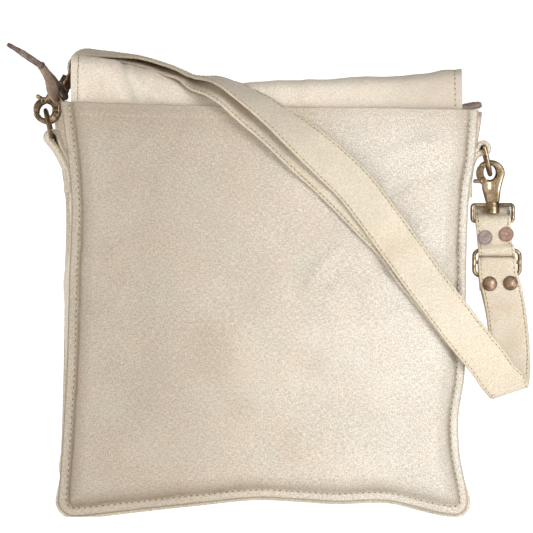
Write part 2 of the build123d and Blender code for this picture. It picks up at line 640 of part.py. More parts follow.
# ---- Assembly -------------------------------------------------------------------------------
def build():
    parts = {
        "back_panel": panel(-HALF_DEPTH, -HALF_DEPTH + CANVAS),
        "front_panel": panel(HALF_DEPTH - CANVAS, HALF_DEPTH),
        "gusset_left": gusset_strip(-1),
        "gusset_right": gusset_strip(1),
        "flap_back": flap_back(),
        "flap_front": flap_front(),
        "flap_hem": flap_hem(),
        "zip_panel_back": zip_panel(-1),
        "zip_panel_front": zip_panel(1),
        "zip_tape_back": zip_tape(-1),
        "zip_tape_front": zip_tape(1),
        "zip_teeth_back": zip_teeth(-1),
        "zip_teeth_front": zip_teeth(1),
        "zip_end_stub": zip_end_stub(),
        "zip_end_tab": zip_end_tab(),
        "zip_slider": zip_slider(),
        "pull_link": pull_link(),
        "zip_pull": zip_pull(),
        "slide_adjuster": slide_adjuster(),
        "burr_washers": burrs(),
        "burr_posts": rivet_posts(BURR_SPOTS, BURR_SEAT_Y - BURR_T, 9.0, 8.65),
        "dome_caps": domes(),
        "dome_posts": rivet_posts(DOME_SPOTS, DOME_SEAT_Y - 1.4, 8.6, 8.15),
    }
    rings = {"left": (LEFT_RING_BAR, LEFT_RING_APEX), "right": (RIGHT_RING_BAR, RIGHT_RING_APEX)}
    sides = {"left": -1, "right": 1}
    for name, place in hook_places().items():
        bar, apex = rings[name]
        parts["loop_tab_" + name] = loop_tab(sides[name], bar, LOOP_SPANS[name])
        parts["d_ring_" + name] = d_ring(bar, apex)
        parts["swivel_eye_" + name] = eye_places()[name] * swivel_eye()
        parts["snap_hook_" + name] = place * snap_hook()
        parts["hook_gate_" + name] = place * hook_gate()
        parts["gate_pin_" + name] = place * gate_pin()
        parts["gate_spring_" + name] = place * gate_spring()
    ends = {
        "strap_outer_run": (strap_outer_run(), BURR_SPOTS),
        "strap_inner_run": (strap_inner_run(), DOME_SPOTS),
    }
    for name, (run, spots) in ends.items():
        for x, z in spots:
            run -= drill_y(x, z, POST_R, -5, 14)
        parts[name] = run
    return parts


os.makedirs("parts", exist_ok=True)
for node, shape in build().items():
    export_step(shape, f"parts/{node}.step")
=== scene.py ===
import math
from bisect import bisect_right

import bpy
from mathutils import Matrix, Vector, noise


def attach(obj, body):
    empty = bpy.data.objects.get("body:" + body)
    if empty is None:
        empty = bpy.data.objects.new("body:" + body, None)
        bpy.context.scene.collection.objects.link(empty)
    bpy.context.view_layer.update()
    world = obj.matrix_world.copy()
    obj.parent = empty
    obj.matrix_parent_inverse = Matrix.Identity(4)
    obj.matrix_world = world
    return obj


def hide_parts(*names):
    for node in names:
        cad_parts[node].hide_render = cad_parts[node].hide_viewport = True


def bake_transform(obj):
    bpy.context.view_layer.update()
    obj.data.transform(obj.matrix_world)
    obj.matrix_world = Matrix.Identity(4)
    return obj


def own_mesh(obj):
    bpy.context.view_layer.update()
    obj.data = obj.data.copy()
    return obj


# Canvas mail bag. Lengths in this file are in millimetres until a mesh is made, in the CAD's frame.

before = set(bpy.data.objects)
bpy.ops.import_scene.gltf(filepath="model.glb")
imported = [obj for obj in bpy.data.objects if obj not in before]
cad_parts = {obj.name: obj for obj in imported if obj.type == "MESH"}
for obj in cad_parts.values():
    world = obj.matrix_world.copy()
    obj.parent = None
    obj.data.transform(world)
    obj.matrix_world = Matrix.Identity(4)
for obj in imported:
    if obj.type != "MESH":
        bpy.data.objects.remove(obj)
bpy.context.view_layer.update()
scene = bpy.context.scene
MM = 0.001
CLOTH_PACE = 2.4             # usual distance between the points of a cloth's mesh

# ---- Camera, light and floor ------------------------------------------------------------------
VIEW_WIDTH = 448.8           # what the camera takes in at the back panel
LENS = 300.0
PANEL_PLANE_Y = -40.0
AIM_X, AIM_Z = -1.7, 210.9
AMBIENT = 0.145
FLOOR_GLOW = 0.23
BACKDROP = 1.15              # white of the floor and the surroundings behind the bag


def add_camera():
    data = bpy.data.cameras.new("camera")
    data.lens = LENS
    data.clip_end = 100
    camera = bpy.data.objects.new("camera", data)
    scene.collection.objects.link(camera)
    distance = VIEW_WIDTH / data.sensor_width * LENS
    camera.location = (AIM_X * MM, (PANEL_PLANE_Y - distance) * MM, AIM_Z * MM)
    camera.rotation_euler = (math.radians(90), 0, 0)
    scene.camera = camera


def area_light(name, place, target, size, power):
    data = bpy.data.lights.new(name, "AREA")
    data.shape = "DISK"
    data.size = size
    data.energy = power
    light = bpy.data.objects.new(name, data)
    scene.collection.objects.link(light)
    light.location = place
    aim = Vector(target) - Vector(place)
    light.rotation_euler = aim.to_track_quat("-Z", "Y").to_euler()


def add_light():
    area_light("key", (0.54, -0.58, 0.30), (0.06, 0.0, 0.15), 0.40, 4.1)
    area_light("fill", (-0.5, -2.3, 0.5), (0.0, 0.0, 0.2), 0.9, 5.0)
    area_light("top", (0.1, -0.9, 2.0), (0.0, 0.0, 0.3), 1.2, 6.4)
    area_light("side", (-1.4, -0.46, 0.55), (-0.1, 0.0, 0.22), 0.5, 9.2)
    area_light("rear", (0.6, 1.7, 1.1), (0.0, 0.0, 0.2), 1.4, 12.0)
    world = bpy.data.worlds.new("studio")
    scene.world = world
    world.use_nodes = True
    tree = world.node_tree
    ambient = tree.nodes["Background"]
    white = tree.nodes.new("ShaderNodeBackground")
    for background, strength in ((ambient, AMBIENT), (white, BACKDROP)):
        background.inputs["Color"].default_value = (1, 1, 1, 1)
        background.inputs["Strength"].default_value = strength
    path = tree.nodes.new("ShaderNodeLightPath")
    both = tree.nodes.new("ShaderNodeMixShader")
    tree.links.new(path.outputs["Is Camera Ray"], both.inputs[0])
    tree.links.new(ambient.outputs[0], both.inputs[1])
    tree.links.new(white.outputs[0], both.inputs[2])
    tree.links.new(both.outputs[0], tree.nodes["World Output"].inputs["Surface"])
    scene.view_settings.view_transform = "Standard"


# ---- Materials --------------------------------------------------------------------------------
PANEL_W, PANEL_H = 350.0, 345.0


def plug(tree, item, inputs):
    """Links sockets to a node's inputs, and sets plain values on them."""
    for key, value in inputs.items():
        if isinstance(value, bpy.types.NodeSocket):
            tree.links.new(value, item.inputs[key])
        else:
            item.inputs[key].default_value = value


def node(tree, kind, inputs=None, **props):
    made = tree.nodes.new(kind)
    for key, value in props.items():
        setattr(made, key, value)
    plug(tree, made, inputs or {})
    return made


def calc(tree, operation, a, b=0.0, clamp=False):
    made = node(tree, "ShaderNodeMath", {0: a, 1: b}, operation=operation, use_clamp=clamp)
    return made.outputs[0]


def times(tree, a, b, clamp=False):
    return calc(tree, "MULTIPLY", a, b, clamp)


def plus(tree, a, b):
    return calc(tree, "ADD", a, b)


def past(tree, value, start, weight, clamp=False):
    """How far a value is past a start, times a weight."""
    return times(tree, calc(tree, "SUBTRACT", value, start), weight, clamp)


def mix(tree, share, a, b, blend="MIX"):
    made = node(tree, "ShaderNodeMixRGB", {0: share, 1: a, 2: b}, blend_type=blend)
    return made.outputs[0]


def ramp(tree, value, stops):
    made = node(tree, "ShaderNodeValToRGB", {0: value})
    elements = made.color_ramp.elements
    while len(elements) < len(stops):
        elements.new(0.5)
    for element, (place, colour) in zip(elements, stops):
        element.position = place
        element.color = (*colour, 1)
    return made.outputs[0]


def grey(v):
    return (v, v, v)


def axes(tree, vector):
    return node(tree, "ShaderNodeSeparateXYZ", {0: vector}).outputs


def object_place(tree):
    """Place in the part's frame, in metres."""
    return node(tree, "ShaderNodeTexCoord").outputs["Object"]


def cloth_place(tree):
    """Place on the flat cloth, in metres."""
    return node(tree, "ShaderNodeUVMap", uv_map="cloth").outputs[0]


def distance(tree, place, centre):
    made = node(tree, "ShaderNodeVectorMath", {0: place, 1: centre}, operation="DISTANCE")
    return made.outputs["Value"]


def scaled(tree, vector, scale, shift=(0, 0, 0)):
    return node(tree, "ShaderNodeMapping", {0: vector, "Scale": scale, "Location": shift}).outputs[0]


def cloud(tree, vector, scale=(1, 1, 1), detail=3.0, shift=(0, 0, 0), roughness=0.55):
    """Noise from 0 to 1 at the given number of cells in a metre along each axis."""
    place = scaled(tree, vector, scale, shift)
    inputs = {"Vector": place, "Scale": 1.0, "Detail": detail, "Roughness": roughness}
    return node(tree, "ShaderNodeTexNoise", inputs).outputs[0]


def cloud_3d(tree, place, cells, detail, shift, roughness):
    return cloud(tree, place, (cells, cells, cells), detail, shift, roughness)


def new_material(name):
    material = bpy.data.materials.new(name)
    material.use_nodes = True
    return material, material.node_tree, material.node_tree.nodes["Principled BSDF"]


def dress(tree, shader, height, strength, depth, inputs):
    """The shader's inputs, and a bump from a height of the given depth in metres."""
    bump = node(tree, "ShaderNodeBump", {"Height": height, "Strength": strength, "Distance": depth})
    plug(tree, shader, {**inputs, "Normal": bump.outputs[0]})


def panel_dirt_and_painted_light(tree, colour, cloth, spot, mottle, left_shade_amount):
    """Painted shade on the left side, painted shade with some dirt in the groove inside the seams, a darker
    line at the very edge, painted light that makes the right side paler, and a darker band along the hem.
    """
    # Painted shade: the left side is darkened, as if less light falls there.
    side = calc(tree, "SUBTRACT", past(tree, times(tree, mottle, 0.10), spot[0], 9.0), 0.3, True)
    colour = mix(tree, times(tree, side, left_shade_amount), colour, (0.30, 0.235, 0.17, 1))
    # Painted shade, with some dirt, in the groove just inside the seams.
    far = calc(tree, "SUBTRACT", PANEL_W * MM, cloth[0])
    inset = times(tree, calc(tree, "MINIMUM", calc(tree, "MINIMUM", cloth[0], far), cloth[1]), 20.0)
    seam_shade_and_dirt = ramp(tree, inset, [(0.11, grey(0)), (0.17, grey(1)), (0.24, grey(0.55)), (0.44, grey(0))])
    seam_shade_and_dirt = times(tree, seam_shade_and_dirt, plus(tree, mottle, 0.1))
    colour = mix(tree, seam_shade_and_dirt, colour, (0.27, 0.20, 0.13, 1))
    rim = ramp(tree, inset, [(0.014, grey(0.6)), (0.036, grey(0))])
    colour = mix(tree, rim, colour, (0.25, 0.18, 0.12, 1))
    # Painted light: the right side made paler, as if more light falls there.
    right_side_light = times(tree, plus(tree, spot[0], 0.01), 8.0, True)
    colour = mix(tree, right_side_light, colour, (0.995, 1.04, 1.10, 1), "MULTIPLY")
    band = times(tree, past(tree, spot[2], 0.318, 34.0, True), 0.34)
    return mix(tree, band, colour, (0.36, 0.27, 0.19, 1))


def stain_and_shade_mark(tree, colour, place, centre, size, depth):
    """A soft-edged brown mark, used for stains and for painted shade; its centre and size are in metres."""
    edge = cloud_3d(tree, place, 60, 4, (centre[0] * 90, 0, centre[2] * 90), 0.7)
    near = plus(tree, calc(tree, "DIVIDE", distance(tree, place, centre), size), times(tree, edge, 0.9))
    near = times(tree, ramp(tree, near, [(0.50, grey(1)), (1.04, grey(0))]), depth)
    return mix(tree, near, colour, (0.42, 0.29, 0.17, 1))


def canvas(name, light, dark, pitch=0.00095, marks=(), panel_shade=0.0, coarse=1.0, right_wear=0.0, edge_shade_at=0.0):
    """Plain-weave cotton canvas: threads, slubs, mottling, stains and marks of painted shade; on request also
    painted shade along a strap's edges, a darker right side, and the panel's painted shade and light.
    """
    material, tree, shader = new_material(name)
    uv, place = cloth_place(tree), object_place(tree)
    cloth, spot = axes(tree, uv), axes(tree, place)
    wander = times(tree, cloud(tree, uv, (160, 160, 1), 2), 0.0022)
    turn = math.pi / pitch
    warp = calc(tree, "SINE", times(tree, plus(tree, cloth[0], wander), turn))
    weft = calc(tree, "SINE", times(tree, plus(tree, cloth[1], wander), turn * 0.92))
    threads = plus(tree, times(tree, times(tree, warp, weft), 0.5), 0.5)
    slub_a = cloud(tree, uv, (260, 1300, 1), 2, (3, 1, 0), 0.7)
    slub_b = cloud(tree, uv, (1300, 340, 1), 2, (0, 7, 0), 0.7)
    slubs = plus(tree, slub_a, slub_b)
    grain = cloud(tree, uv, (1000, 1000, 1), 2, (1, 5, 0), 0.8)
    mottle = cloud_3d(tree, place, 14, 4, (2, 0, 5), 0.6)
    patches = cloud_3d(tree, place, 5, 2, (7, 3, 1), 0.5)
    tone = past(tree, slubs, 1.0, 1.3 * coarse)
    for layer, weight in ((threads, 0.18), (grain, 2.2 * coarse), (mottle, 0.56), (patches, 0.40)):
        tone = plus(tree, tone, past(tree, layer, 0.5, weight))
    colour = ramp(tree, plus(tree, tone, 0.65), [(0.47, dark), (0.83, light)])
    blush = cloud_3d(tree, place, 30, 4, (4, 8, 6), 0.6)
    blush = ramp(tree, blush, [(0.36, (0.985, 1.0, 1.0)), (0.64, (1.015, 0.985, 0.965))])
    colour = mix(tree, 1.0, colour, blush, "MULTIPLY")
    fleck = cloud(tree, uv, (330, 820, 1), 1, (9, 4, 0), 0.4)
    fleck = ramp(tree, fleck, [(0.70, grey(0)), (0.80, grey(1))])
    brown = (dark[0] * 0.72, dark[1] * 0.66, dark[2] * 0.56, 1)
    colour = mix(tree, times(tree, fleck, 0.35), colour, brown)
    # Painted shade along the strap's edges.
    if edge_shade_at:
        other_face = calc(tree, "ABSOLUTE", calc(tree, "SUBTRACT", cloth[0], 0.05))
        off = calc(tree, "MINIMUM", calc(tree, "ABSOLUTE", cloth[0]), other_face)
        off = times(tree, past(tree, off, edge_shade_at, 600.0, True), plus(tree, mottle, 0.1))
        colour = mix(tree, off, colour, (0.30, 0.225, 0.14, 1))
    if right_wear:
        share = times(tree, times(tree, spot[0], 6.5, True), right_wear)
        colour = mix(tree, share, colour, (0.42, 0.36, 0.29, 1))
    # The panel's painted shade and light, with some dirt in its seams.
    if panel_shade:
        colour = panel_dirt_and_painted_light(tree, colour, cloth, spot, mottle, panel_shade)
    # Stains, and on the strap also marks of painted shade.
    for centre, size, depth in marks:
        colour = stain_and_shade_mark(tree, colour, place, centre, size, depth)
    height = plus(tree, times(tree, threads, 0.35), times(tree, slubs, 0.45))
    height = plus(tree, height, times(tree, grain, 0.35))
    height = plus(tree, height, times(tree, cloud_3d(tree, place, 85, 3, (4, 4, 4), 0.5), 0.9))
    dress(tree, shader, height, 0.55, 0.0006, {
        "Base Color": colour, "Roughness": 0.92, "Specular IOR Level": 0.18,
        "Sheen Weight": 0.12, "Sheen Roughness": 0.6,
    })
    return material


def thread(name, colour):
    """Twisted sewing thread, with painted shade where each stitch goes into the cloth and on the needle-hole
    discs.
    """
    material, tree, shader = new_material(name)
    twist = cloud(tree, object_place(tree), (1400, 1400, 1400), 2)
    shade = ramp(tree, twist, [(0.3, tuple(c * 0.62 for c in colour)), (0.6, colour)])
    along = axes(tree, cloth_place(tree))[0]
    # Painted shade at both ends of each stitch, where it goes into the cloth.
    ends = ramp(tree, along, [(0.0, grey(0.22)), (0.2, grey(1)), (0.8, grey(1)), (1.0, grey(0.22))])
    shade = mix(tree, 1.0, shade, ends, "MULTIPLY")
    dress(tree, shader, twist, 0.4, 0.0003, {
        "Base Color": shade, "Roughness": 0.8, "Specular IOR Level": 0.25,
    })
    return material


def leather(name, dark, worn, roughness):
    """Brown leather with grain, creases and rubbed places."""
    material, tree, shader = new_material(name)
    place = object_place(tree)
    cells = node(tree, "ShaderNodeTexVoronoi", {"Vector": scaled(tree, place, (900, 900, 900)), "Scale": 1.0})
    pores = cells.outputs["Distance"]
    creases = cloud_3d(tree, place, 240, 5, (1, 2, 3), 0.65)
    rubbed = cloud_3d(tree, place, 95, 4, (5, 1, 2), 0.6)
    mixed = plus(tree, times(tree, creases, 0.5), times(tree, rubbed, 0.5))
    shade = ramp(tree, mixed, [(0.36, dark), (0.62, worn)])
    shade = mix(tree, times(tree, pores, 0.25), shade, tuple(c * 0.5 for c in dark) + (1,))
    gloss = ramp(tree, rubbed, [(0.3, grey(roughness + 0.12)), (0.7, grey(roughness - 0.1))])
    height = plus(tree, times(tree, pores, 0.6), times(tree, creases, 1.2))
    dress(tree, shader, height, 0.6, 0.0005, {"Base Color": shade, "Roughness": gloss})
    return material


def metal(name, dull, bright, roughness=0.34, cells=120, pitted=0.35):
    """Aged brass or copper: brown tarnish with rubbed bright places and small pits."""
    material, tree, shader = new_material(name)
    place = object_place(tree)
    wear = cloud_3d(tree, place, cells, 5, (3, 1, 4), 0.65)
    fine = cloud_3d(tree, place, 700, 3, (0, 2, 0), 0.6)
    mixed = plus(tree, times(tree, wear, 0.75), times(tree, fine, 0.25))
    shade = ramp(tree, mixed, [(0.34, tuple(c * 0.45 for c in dull)), (0.47, dull), (0.64, bright)])
    gloss = ramp(tree, mixed, [(0.35, grey(roughness + 0.22)), (0.62, grey(roughness - 0.06))])
    dress(tree, shader, mixed, pitted, 0.0003, {"Base Color": shade, "Roughness": gloss, "Metallic": 1.0})
    return material


# Middles of the two washers, and on each of them: radius, sharpness, strength and colour of a ring
WASHERS = ((0.1845, 0.0027, 0.2356), (0.2026, 0.0027, 0.2384))
WASHER_RINGS = ((0.0058, 900.0, 0.55, (0.16, 0.10, 0.08, 1)), (0.0024, 1300.0, 0.45, (0.18, 0.11, 0.09, 1)))


def washer_metal(name):
    """Aged washers: the left one grey-pink, the right one copper, each with dark rings round its pin."""
    material, tree, shader = new_material(name)
    place = object_place(tree)
    wear = cloud_3d(tree, place, 260, 4, (3, 1, 4), 0.6)
    side = past(tree, axes(tree, place)[0], 0.1900, 250.0, True)
    dull = mix(tree, side, (0.21, 0.165, 0.15, 1), (0.20, 0.115, 0.08, 1))
    bright = mix(tree, side, (0.36, 0.29, 0.27, 1), (0.36, 0.23, 0.17, 1))
    colour = mix(tree, ramp(tree, wear, [(0.35, grey(0)), (0.65, grey(1))]), dull, bright)
    for centre in WASHERS:
        gap = distance(tree, place, centre)
        for radius, sharp, share, shade in WASHER_RINGS:
            off = calc(tree, "ABSOLUTE", past(tree, gap, radius, sharp))
            ring = calc(tree, "SUBTRACT", 1.0, off, True)
            colour = mix(tree, times(tree, ring, share), colour, shade)
    dress(tree, shader, wear, 0.3, 0.0003, {"Base Color": colour, "Metallic": 0.45, "Roughness": 0.42})
    return material


def tape(name, colour):
    """Closely woven twill tape, ribbed along its length."""
    material, tree, shader = new_material(name)
    uv = cloth_place(tree)
    cloth = axes(tree, uv)
    ribs = calc(tree, "SINE", times(tree, plus(tree, cloth[0], cloth[1]), 2 * math.pi / 0.0009))
    height = plus(tree, times(tree, ribs, 0.3), cloud(tree, uv, (900, 900, 1), 3))
    shade = ramp(tree, height, [(0.2, tuple(c * 0.6 for c in colour)), (0.8, colour)])
    dress(tree, shader, height, 0.5, 0.0003, {"Base Color": shade, "Roughness": 0.85})
    return material


def floor_material():
    material, tree, shader = new_material("pale_floor")
    shade = ramp(tree, cloud(tree, object_place(tree), (6, 6, 6), 3), [(0.3, grey(0.93)), (0.7, grey(0.96))])
    plug(tree, shader, {
        "Base Color": shade, "Roughness": 0.9, "Specular IOR Level": 0.0,
        "Emission Color": (1, 1, 1, 1), "Emission Strength": FLOOR_GLOW,
    })
    seen = node(tree, "ShaderNodeLightPath").outputs["Is Camera Ray"]
    white = node(tree, "ShaderNodeEmission", {"Strength": BACKDROP}).outputs[0]
    both = node(tree, "ShaderNodeMixShader", {0: seen, 1: shader.outputs[0], 2: white}).outputs[0]
    tree.links.new(both, tree.nodes["Material Output"].inputs["Surface"])
    return material


# Each mark is its centre and size in metres, and how dark it is
BODY_MARKS = [
    ((-0.052, -0.04, 0.142), 0.052, 0.22), ((-0.038, -0.04, 0.118), 0.036, 0.16),
    ((0.036, -0.04, 0.130), 0.034, 0.17), ((-0.024, -0.04, 0.090), 0.034, 0.20),
    ((-0.118, -0.04, 0.290), 0.042, 0.14), ((-0.102, -0.04, 0.232), 0.050, 0.12),
    ((0.020, -0.04, 0.055), 0.040, 0.10), ((-0.010, -0.04, 0.200), 0.060, 0.08),
    ((-0.1495, -0.04, 0.214), 0.0024, 0.6),
]
CANVAS_BODY = canvas("body_canvas", (0.80, 0.725, 0.61), (0.50, 0.425, 0.34), marks=BODY_MARKS, panel_shade=0.34)
CANVAS_FLAP = canvas("flap_canvas", (0.98, 0.88, 0.745), (0.71, 0.615, 0.505), pitch=0.0009, coarse=0.7,
                     right_wear=0.60)
CANVAS_SIDE = canvas("side_canvas", (0.84, 0.76, 0.63), (0.56, 0.48, 0.375), coarse=0.8)
# On the strap, the first three marks (right run above the fold) and the two at the top left are painted
# shade; the rest are stains.
STRAP_STAINS_AND_SHADE = [
    ((0.198, 0.0, 0.176), 0.030, 0.22), ((0.206, -0.012, 0.146), 0.026, 0.26),
    ((0.192, -0.03, 0.118), 0.026, 0.16), ((0.110, -0.045, 0.226), 0.034, 0.16),
    ((0.050, -0.045, 0.302), 0.030, 0.10), ((-0.120, 0.0, 0.390), 0.060, 0.42),
    ((-0.155, 0.006, 0.392), 0.030, 0.30), ((0.187, 0.01, 0.246), 0.018, 0.22),
]
CANVAS_STRAP = canvas("strap_canvas", (0.775, 0.70, 0.58), (0.57, 0.49, 0.38), pitch=0.0008, coarse=0.65,
                      marks=STRAP_STAINS_AND_SHADE, edge_shade_at=0.0156)
THREAD_TAN = thread("tan_thread", (0.74, 0.64, 0.45))
THREAD_GOLD = thread("gold_thread", (0.74, 0.60, 0.36))
LEATHER_DARK = leather("dark_leather", (0.07, 0.042, 0.03), (0.36, 0.26, 0.21), 0.5)
LEATHER_SUEDE = leather("worn_leather", (0.28, 0.185, 0.13), (0.56, 0.40, 0.30), 0.8)
BRASS = metal("antique_brass", (0.21, 0.145, 0.085), (0.56, 0.44, 0.29))
COPPER = metal("aged_copper", (0.25, 0.165, 0.115), (0.48, 0.345, 0.24), 0.44, 160)
WASHER = washer_metal("tinned_copper")
STEEL = metal("spring_steel", (0.42, 0.41, 0.40), (0.7, 0.7, 0.7), 0.3, 300, 0.15)
ZIP_TAPE = tape("zip_tape", (0.36, 0.26, 0.17))


# ---- Curves and surfaces in code --------------------------------------------------------------
def profile(*stations):
    """A smooth function through (place, value) stations, level beyond both ends."""
    places = [s[0] for s in stations]
    values = [s[1] for s in stations]
    last = len(places) - 1

    def slope(i):
        a, b = max(i - 1, 0), min(i + 1, last)
        return (values[b] - values[a]) / (places[b] - places[a])

    def value(t):
        if t <= places[0]:
            return values[0]
        if t >= places[-1]:
            return values[-1]
        i = bisect_right(places, t) - 1
        h = places[i + 1] - places[i]
        k = (t - places[i]) / h
        k2, k3 = k * k, k * k * k
        return (
            values[i] * (2 * k3 - 3 * k2 + 1)
            + values[i + 1] * (3 * k2 - 2 * k3)
            + slope(i) * h * (k3 - 2 * k2 + k)
            + slope(i + 1) * h * (k3 - k2)
        )

    return value


def step(low, high, t):
    k = min(1.0, max(0.0, (t - low) / (high - low)))
    return k * k * (3 - 2 * k)


def peak(t, centre, width):
    return math.exp(-(((t - centre) / width) ** 2))


def rough(a, b, c=0.0):
    """Smooth noise, about -1 to 1."""
    return noise.noise(Vector((a, b, c))) * 1.6


def lerp(a, b, k):
    return a + (b - a) * k


def curve_through(points, spacing):
    """A Catmull-Rom curve through the points, sampled about every `spacing`."""
    out = []
    n = len(points)
    for i in range(n - 1):
        p1, p2 = points[i], points[i + 1]
        p0 = points[i - 1] if i else p1 * 2 - p2
        p3 = points[i + 2] if i + 2 < n else p2 * 2 - p1
        size = [max((q - p).length, 1e-4) ** 0.5 for p, q in ((p0, p1), (p1, p2), (p2, p3))]
        m1 = (p1 - p0) / size[0] - (p2 - p0) / (size[0] + size[1]) + (p2 - p1) / size[1]
        m2 = (p2 - p1) / size[1] - (p3 - p1) / (size[1] + size[2]) + (p3 - p2) / size[2]
        m1, m2 = m1 * size[1], m2 * size[1]
        count = max(2, int(round((p2 - p1).length / spacing)))
        for k in range(count):
            t = k / count
            t2, t3 = t * t, t * t * t
            out.append(
                p1 * (2 * t3 - 3 * t2 + 1) + p2 * (3 * t2 - 2 * t3)
                + m1 * (t3 - 2 * t2 + t) + m2 * (t3 - t2)
            )
    out.append(points[-1])
    return out


def evenly(points, count):
    """The polyline resampled to `count` points, the same distance apart."""
    run = [0.0]
    for a, b in zip(points, points[1:]):
        run.append(run[-1] + (b - a).length)
    out = []
    i = 0
    for k in range(count):
        want = run[-1] * k / (count - 1)
        while i < len(run) - 2 and run[i + 1] < want:
            i += 1
        out.append(points[i].lerp(points[i + 1], (want - run[i]) / max(run[i + 1] - run[i], 1e-9)))
    return out


def make_object(name, verts, faces, material, uvs=None):
    """A smooth-shaded mesh from points in millimetres; uvs are millimetres of cloth, one a vertex."""
    mesh = bpy.data.meshes.new(name)
    mesh.from_pydata([tuple(c * MM for c in v) for v in verts], [], faces)
    mesh.materials.append(material)
    if uvs:
        layer = mesh.uv_layers.new(name="cloth")
        for loop in mesh.loops:
            u, v = uvs[loop.vertex_index]
            layer.data[loop.index].uv = (u * MM, v * MM)
    mesh.polygons.foreach_set("use_smooth", [True] * len(mesh.polygons))
    obj = bpy.data.objects.new(name, mesh)
    scene.collection.objects.link(obj)
    return obj


def grid_faces(rows, columns, ring=False, offset=0):
    faces = []
    for i in range(rows - 1):
        for j in range(columns if ring else columns - 1):
            a = offset + i * columns + j
            b = offset + i * columns + (j + 1) % columns
            faces.append((a, b, b + columns, a + columns))
    return faces


def tube_faces(rows, columns, offset=0):
    """Faces of a tube with both its ends shut."""
    last = offset + (rows - 1) * columns
    ends = [tuple(offset + k for k in reversed(range(columns))), tuple(last + k for k in range(columns))]
    return grid_faces(rows, columns, True, offset) + ends


def sheet_object(name, rows, uv_rows, material, thickness, outward=1.0):
    """A grid of points made into cloth of the given thickness, on the inner side of the grid."""
    columns = len(rows[0])
    verts = [p for row in rows for p in row]
    uvs = [p for row in uv_rows for p in row]
    obj = make_object(name, verts, grid_faces(len(rows), columns), material, uvs)
    solid = obj.modifiers.new("cloth", "SOLIDIFY")
    solid.thickness = thickness * MM
    solid.offset = -outward
    solid.use_even_offset = True
    solid.use_quality_normals = True
    apply_modifiers(obj)
    return obj


def apply_modifiers(obj):
    bpy.context.view_layer.update()
    done = bpy.data.meshes.new_from_object(obj.evaluated_get(bpy.context.evaluated_depsgraph_get()))
    done.name = obj.data.name
    obj.modifiers.clear()
    obj.data = done


def belongs(obj, body, slot, *nodes):
    if nodes:
        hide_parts(*nodes)
    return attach(obj, body)


# ---- Stitches ---------------------------------------------------------------------------------
# Place along a stitch, height of its middle, and thickness there, both in thread radii
STITCH_SHAPE = ((0.0, -0.7, 0.6), (0.18, 0.25, 1.0), (0.5, 0.6, 1.05), (0.82, 0.25, 1.0), (1.0, -0.7, 0.6))


class Stitches:
    """Raised stitches gathered into one mesh."""

    SIDES = 6

    def __init__(self):
        self.verts, self.faces, self.along = [], [], []

    def stitch(self, start, end, up, radius):
        """One stitch from start to end, its middle standing proud and both ends in the cloth."""
        way = (end - start).normalized()
        side = way.cross(up).normalized()
        up = side.cross(way)
        base = len(self.verts)
        for place, lift, size in STITCH_SHAPE:
            centre = start.lerp(end, place) + up * (lift * radius)
            for k in range(self.SIDES):
                t = math.tau * k / self.SIDES
                self.verts.append(centre + (side * math.cos(t) + up * math.sin(t)) * radius * size)
                self.along.append((place / MM, 0.0))
        self.faces += tube_faces(len(STITCH_SHAPE), self.SIDES, base)

    def shade_disc(self, centre, up, radius):
        """A dark disc at the needle hole, painted shade where the needle went through."""
        side = up.orthogonal().normalized()
        over = up.cross(side)
        base = len(self.verts)
        for k in range(self.SIDES):
            t = math.tau * k / self.SIDES
            self.verts.append(centre + up * 0.16 + (side * math.cos(t) + over * math.sin(t)) * radius)
            self.along.append((1.0 / MM, 0.0))
        self.faces.append(tuple(base + k for k in range(self.SIDES)))

    def row(self, points, ups, pitch, length, radius, wobble=0.0, seed=0.0):
        """Stitches along a line of points, each with the cloth's outward direction."""
        run = [0.0]
        for a, b in zip(points, points[1:]):
            run.append(run[-1] + (b - a).length)

        def at(want):
            i = min(max(bisect_right(run, want) - 1, 0), len(points) - 2)
            k = (want - run[i]) / max(run[i + 1] - run[i], 1e-9)
            return points[i].lerp(points[i + 1], k), ups[i].lerp(ups[i + 1], k).normalized()

        place = pitch * 0.5
        index = 0
        while place + length < run[-1]:
            (a, up), (b, _) = at(place), at(place + length)
            side = (b - a).cross(up).normalized() * rough(index * 0.7, seed, 3.1) * wobble
            self.stitch(a + side, b + side * 0.6, up, radius)
            # Painted shade: a dark disc at each needle hole.
            (gap, over) = at(place - (pitch - length) / 2)
            self.shade_disc(gap + side, over, (pitch - length) * 0.42)
            place += pitch * (1 + 0.06 * rough(index * 1.3, seed))
            index += 1

    def make(self, name, material):
        return make_object(name, self.verts, self.faces, material, self.along)


# ---- Bag body ---------------------------------------------------------------------------------
PANEL_FACE_Y = 38.0          # outer faces of the panels, from the middle of the bag
PANEL_CLOTH = 1.7
CORNER = 14.0
SEAM = 7.2                   # stitch line of the seam, from the panel's edge
HEM = 10.0


class Outline:
    """A panel's outline: the left and right edges by height, the lower and upper ones by width."""

    def __init__(self, left, right, bottom, top):
        self.left, self.right, self.bottom, self.top = left, right, bottom, top

    def place(self, a, b):
        """Point of the panel that lies `a` from the left edge and `b` above the lower edge."""
        for mirrored in (False, True):
            x = PANEL_W - a if mirrored else a
            if x < CORNER and b < CORNER:
                p, q = (CORNER - x) / CORNER, (CORNER - b) / CORNER
                k = max(p, q) / max(math.hypot(p, q), 1e-9)
                x, b = CORNER * (1 - p * k), CORNER * (1 - q * k)
                a = PANEL_W - x if mirrored else x
        u, v = a / PANEL_W, b / PANEL_H
        x, z = a - PANEL_W / 2, b
        for _ in range(4):
            x = lerp(self.left(z), self.right(z), u)
            z = lerp(self.bottom(x), self.top(x), v)
        return x, z


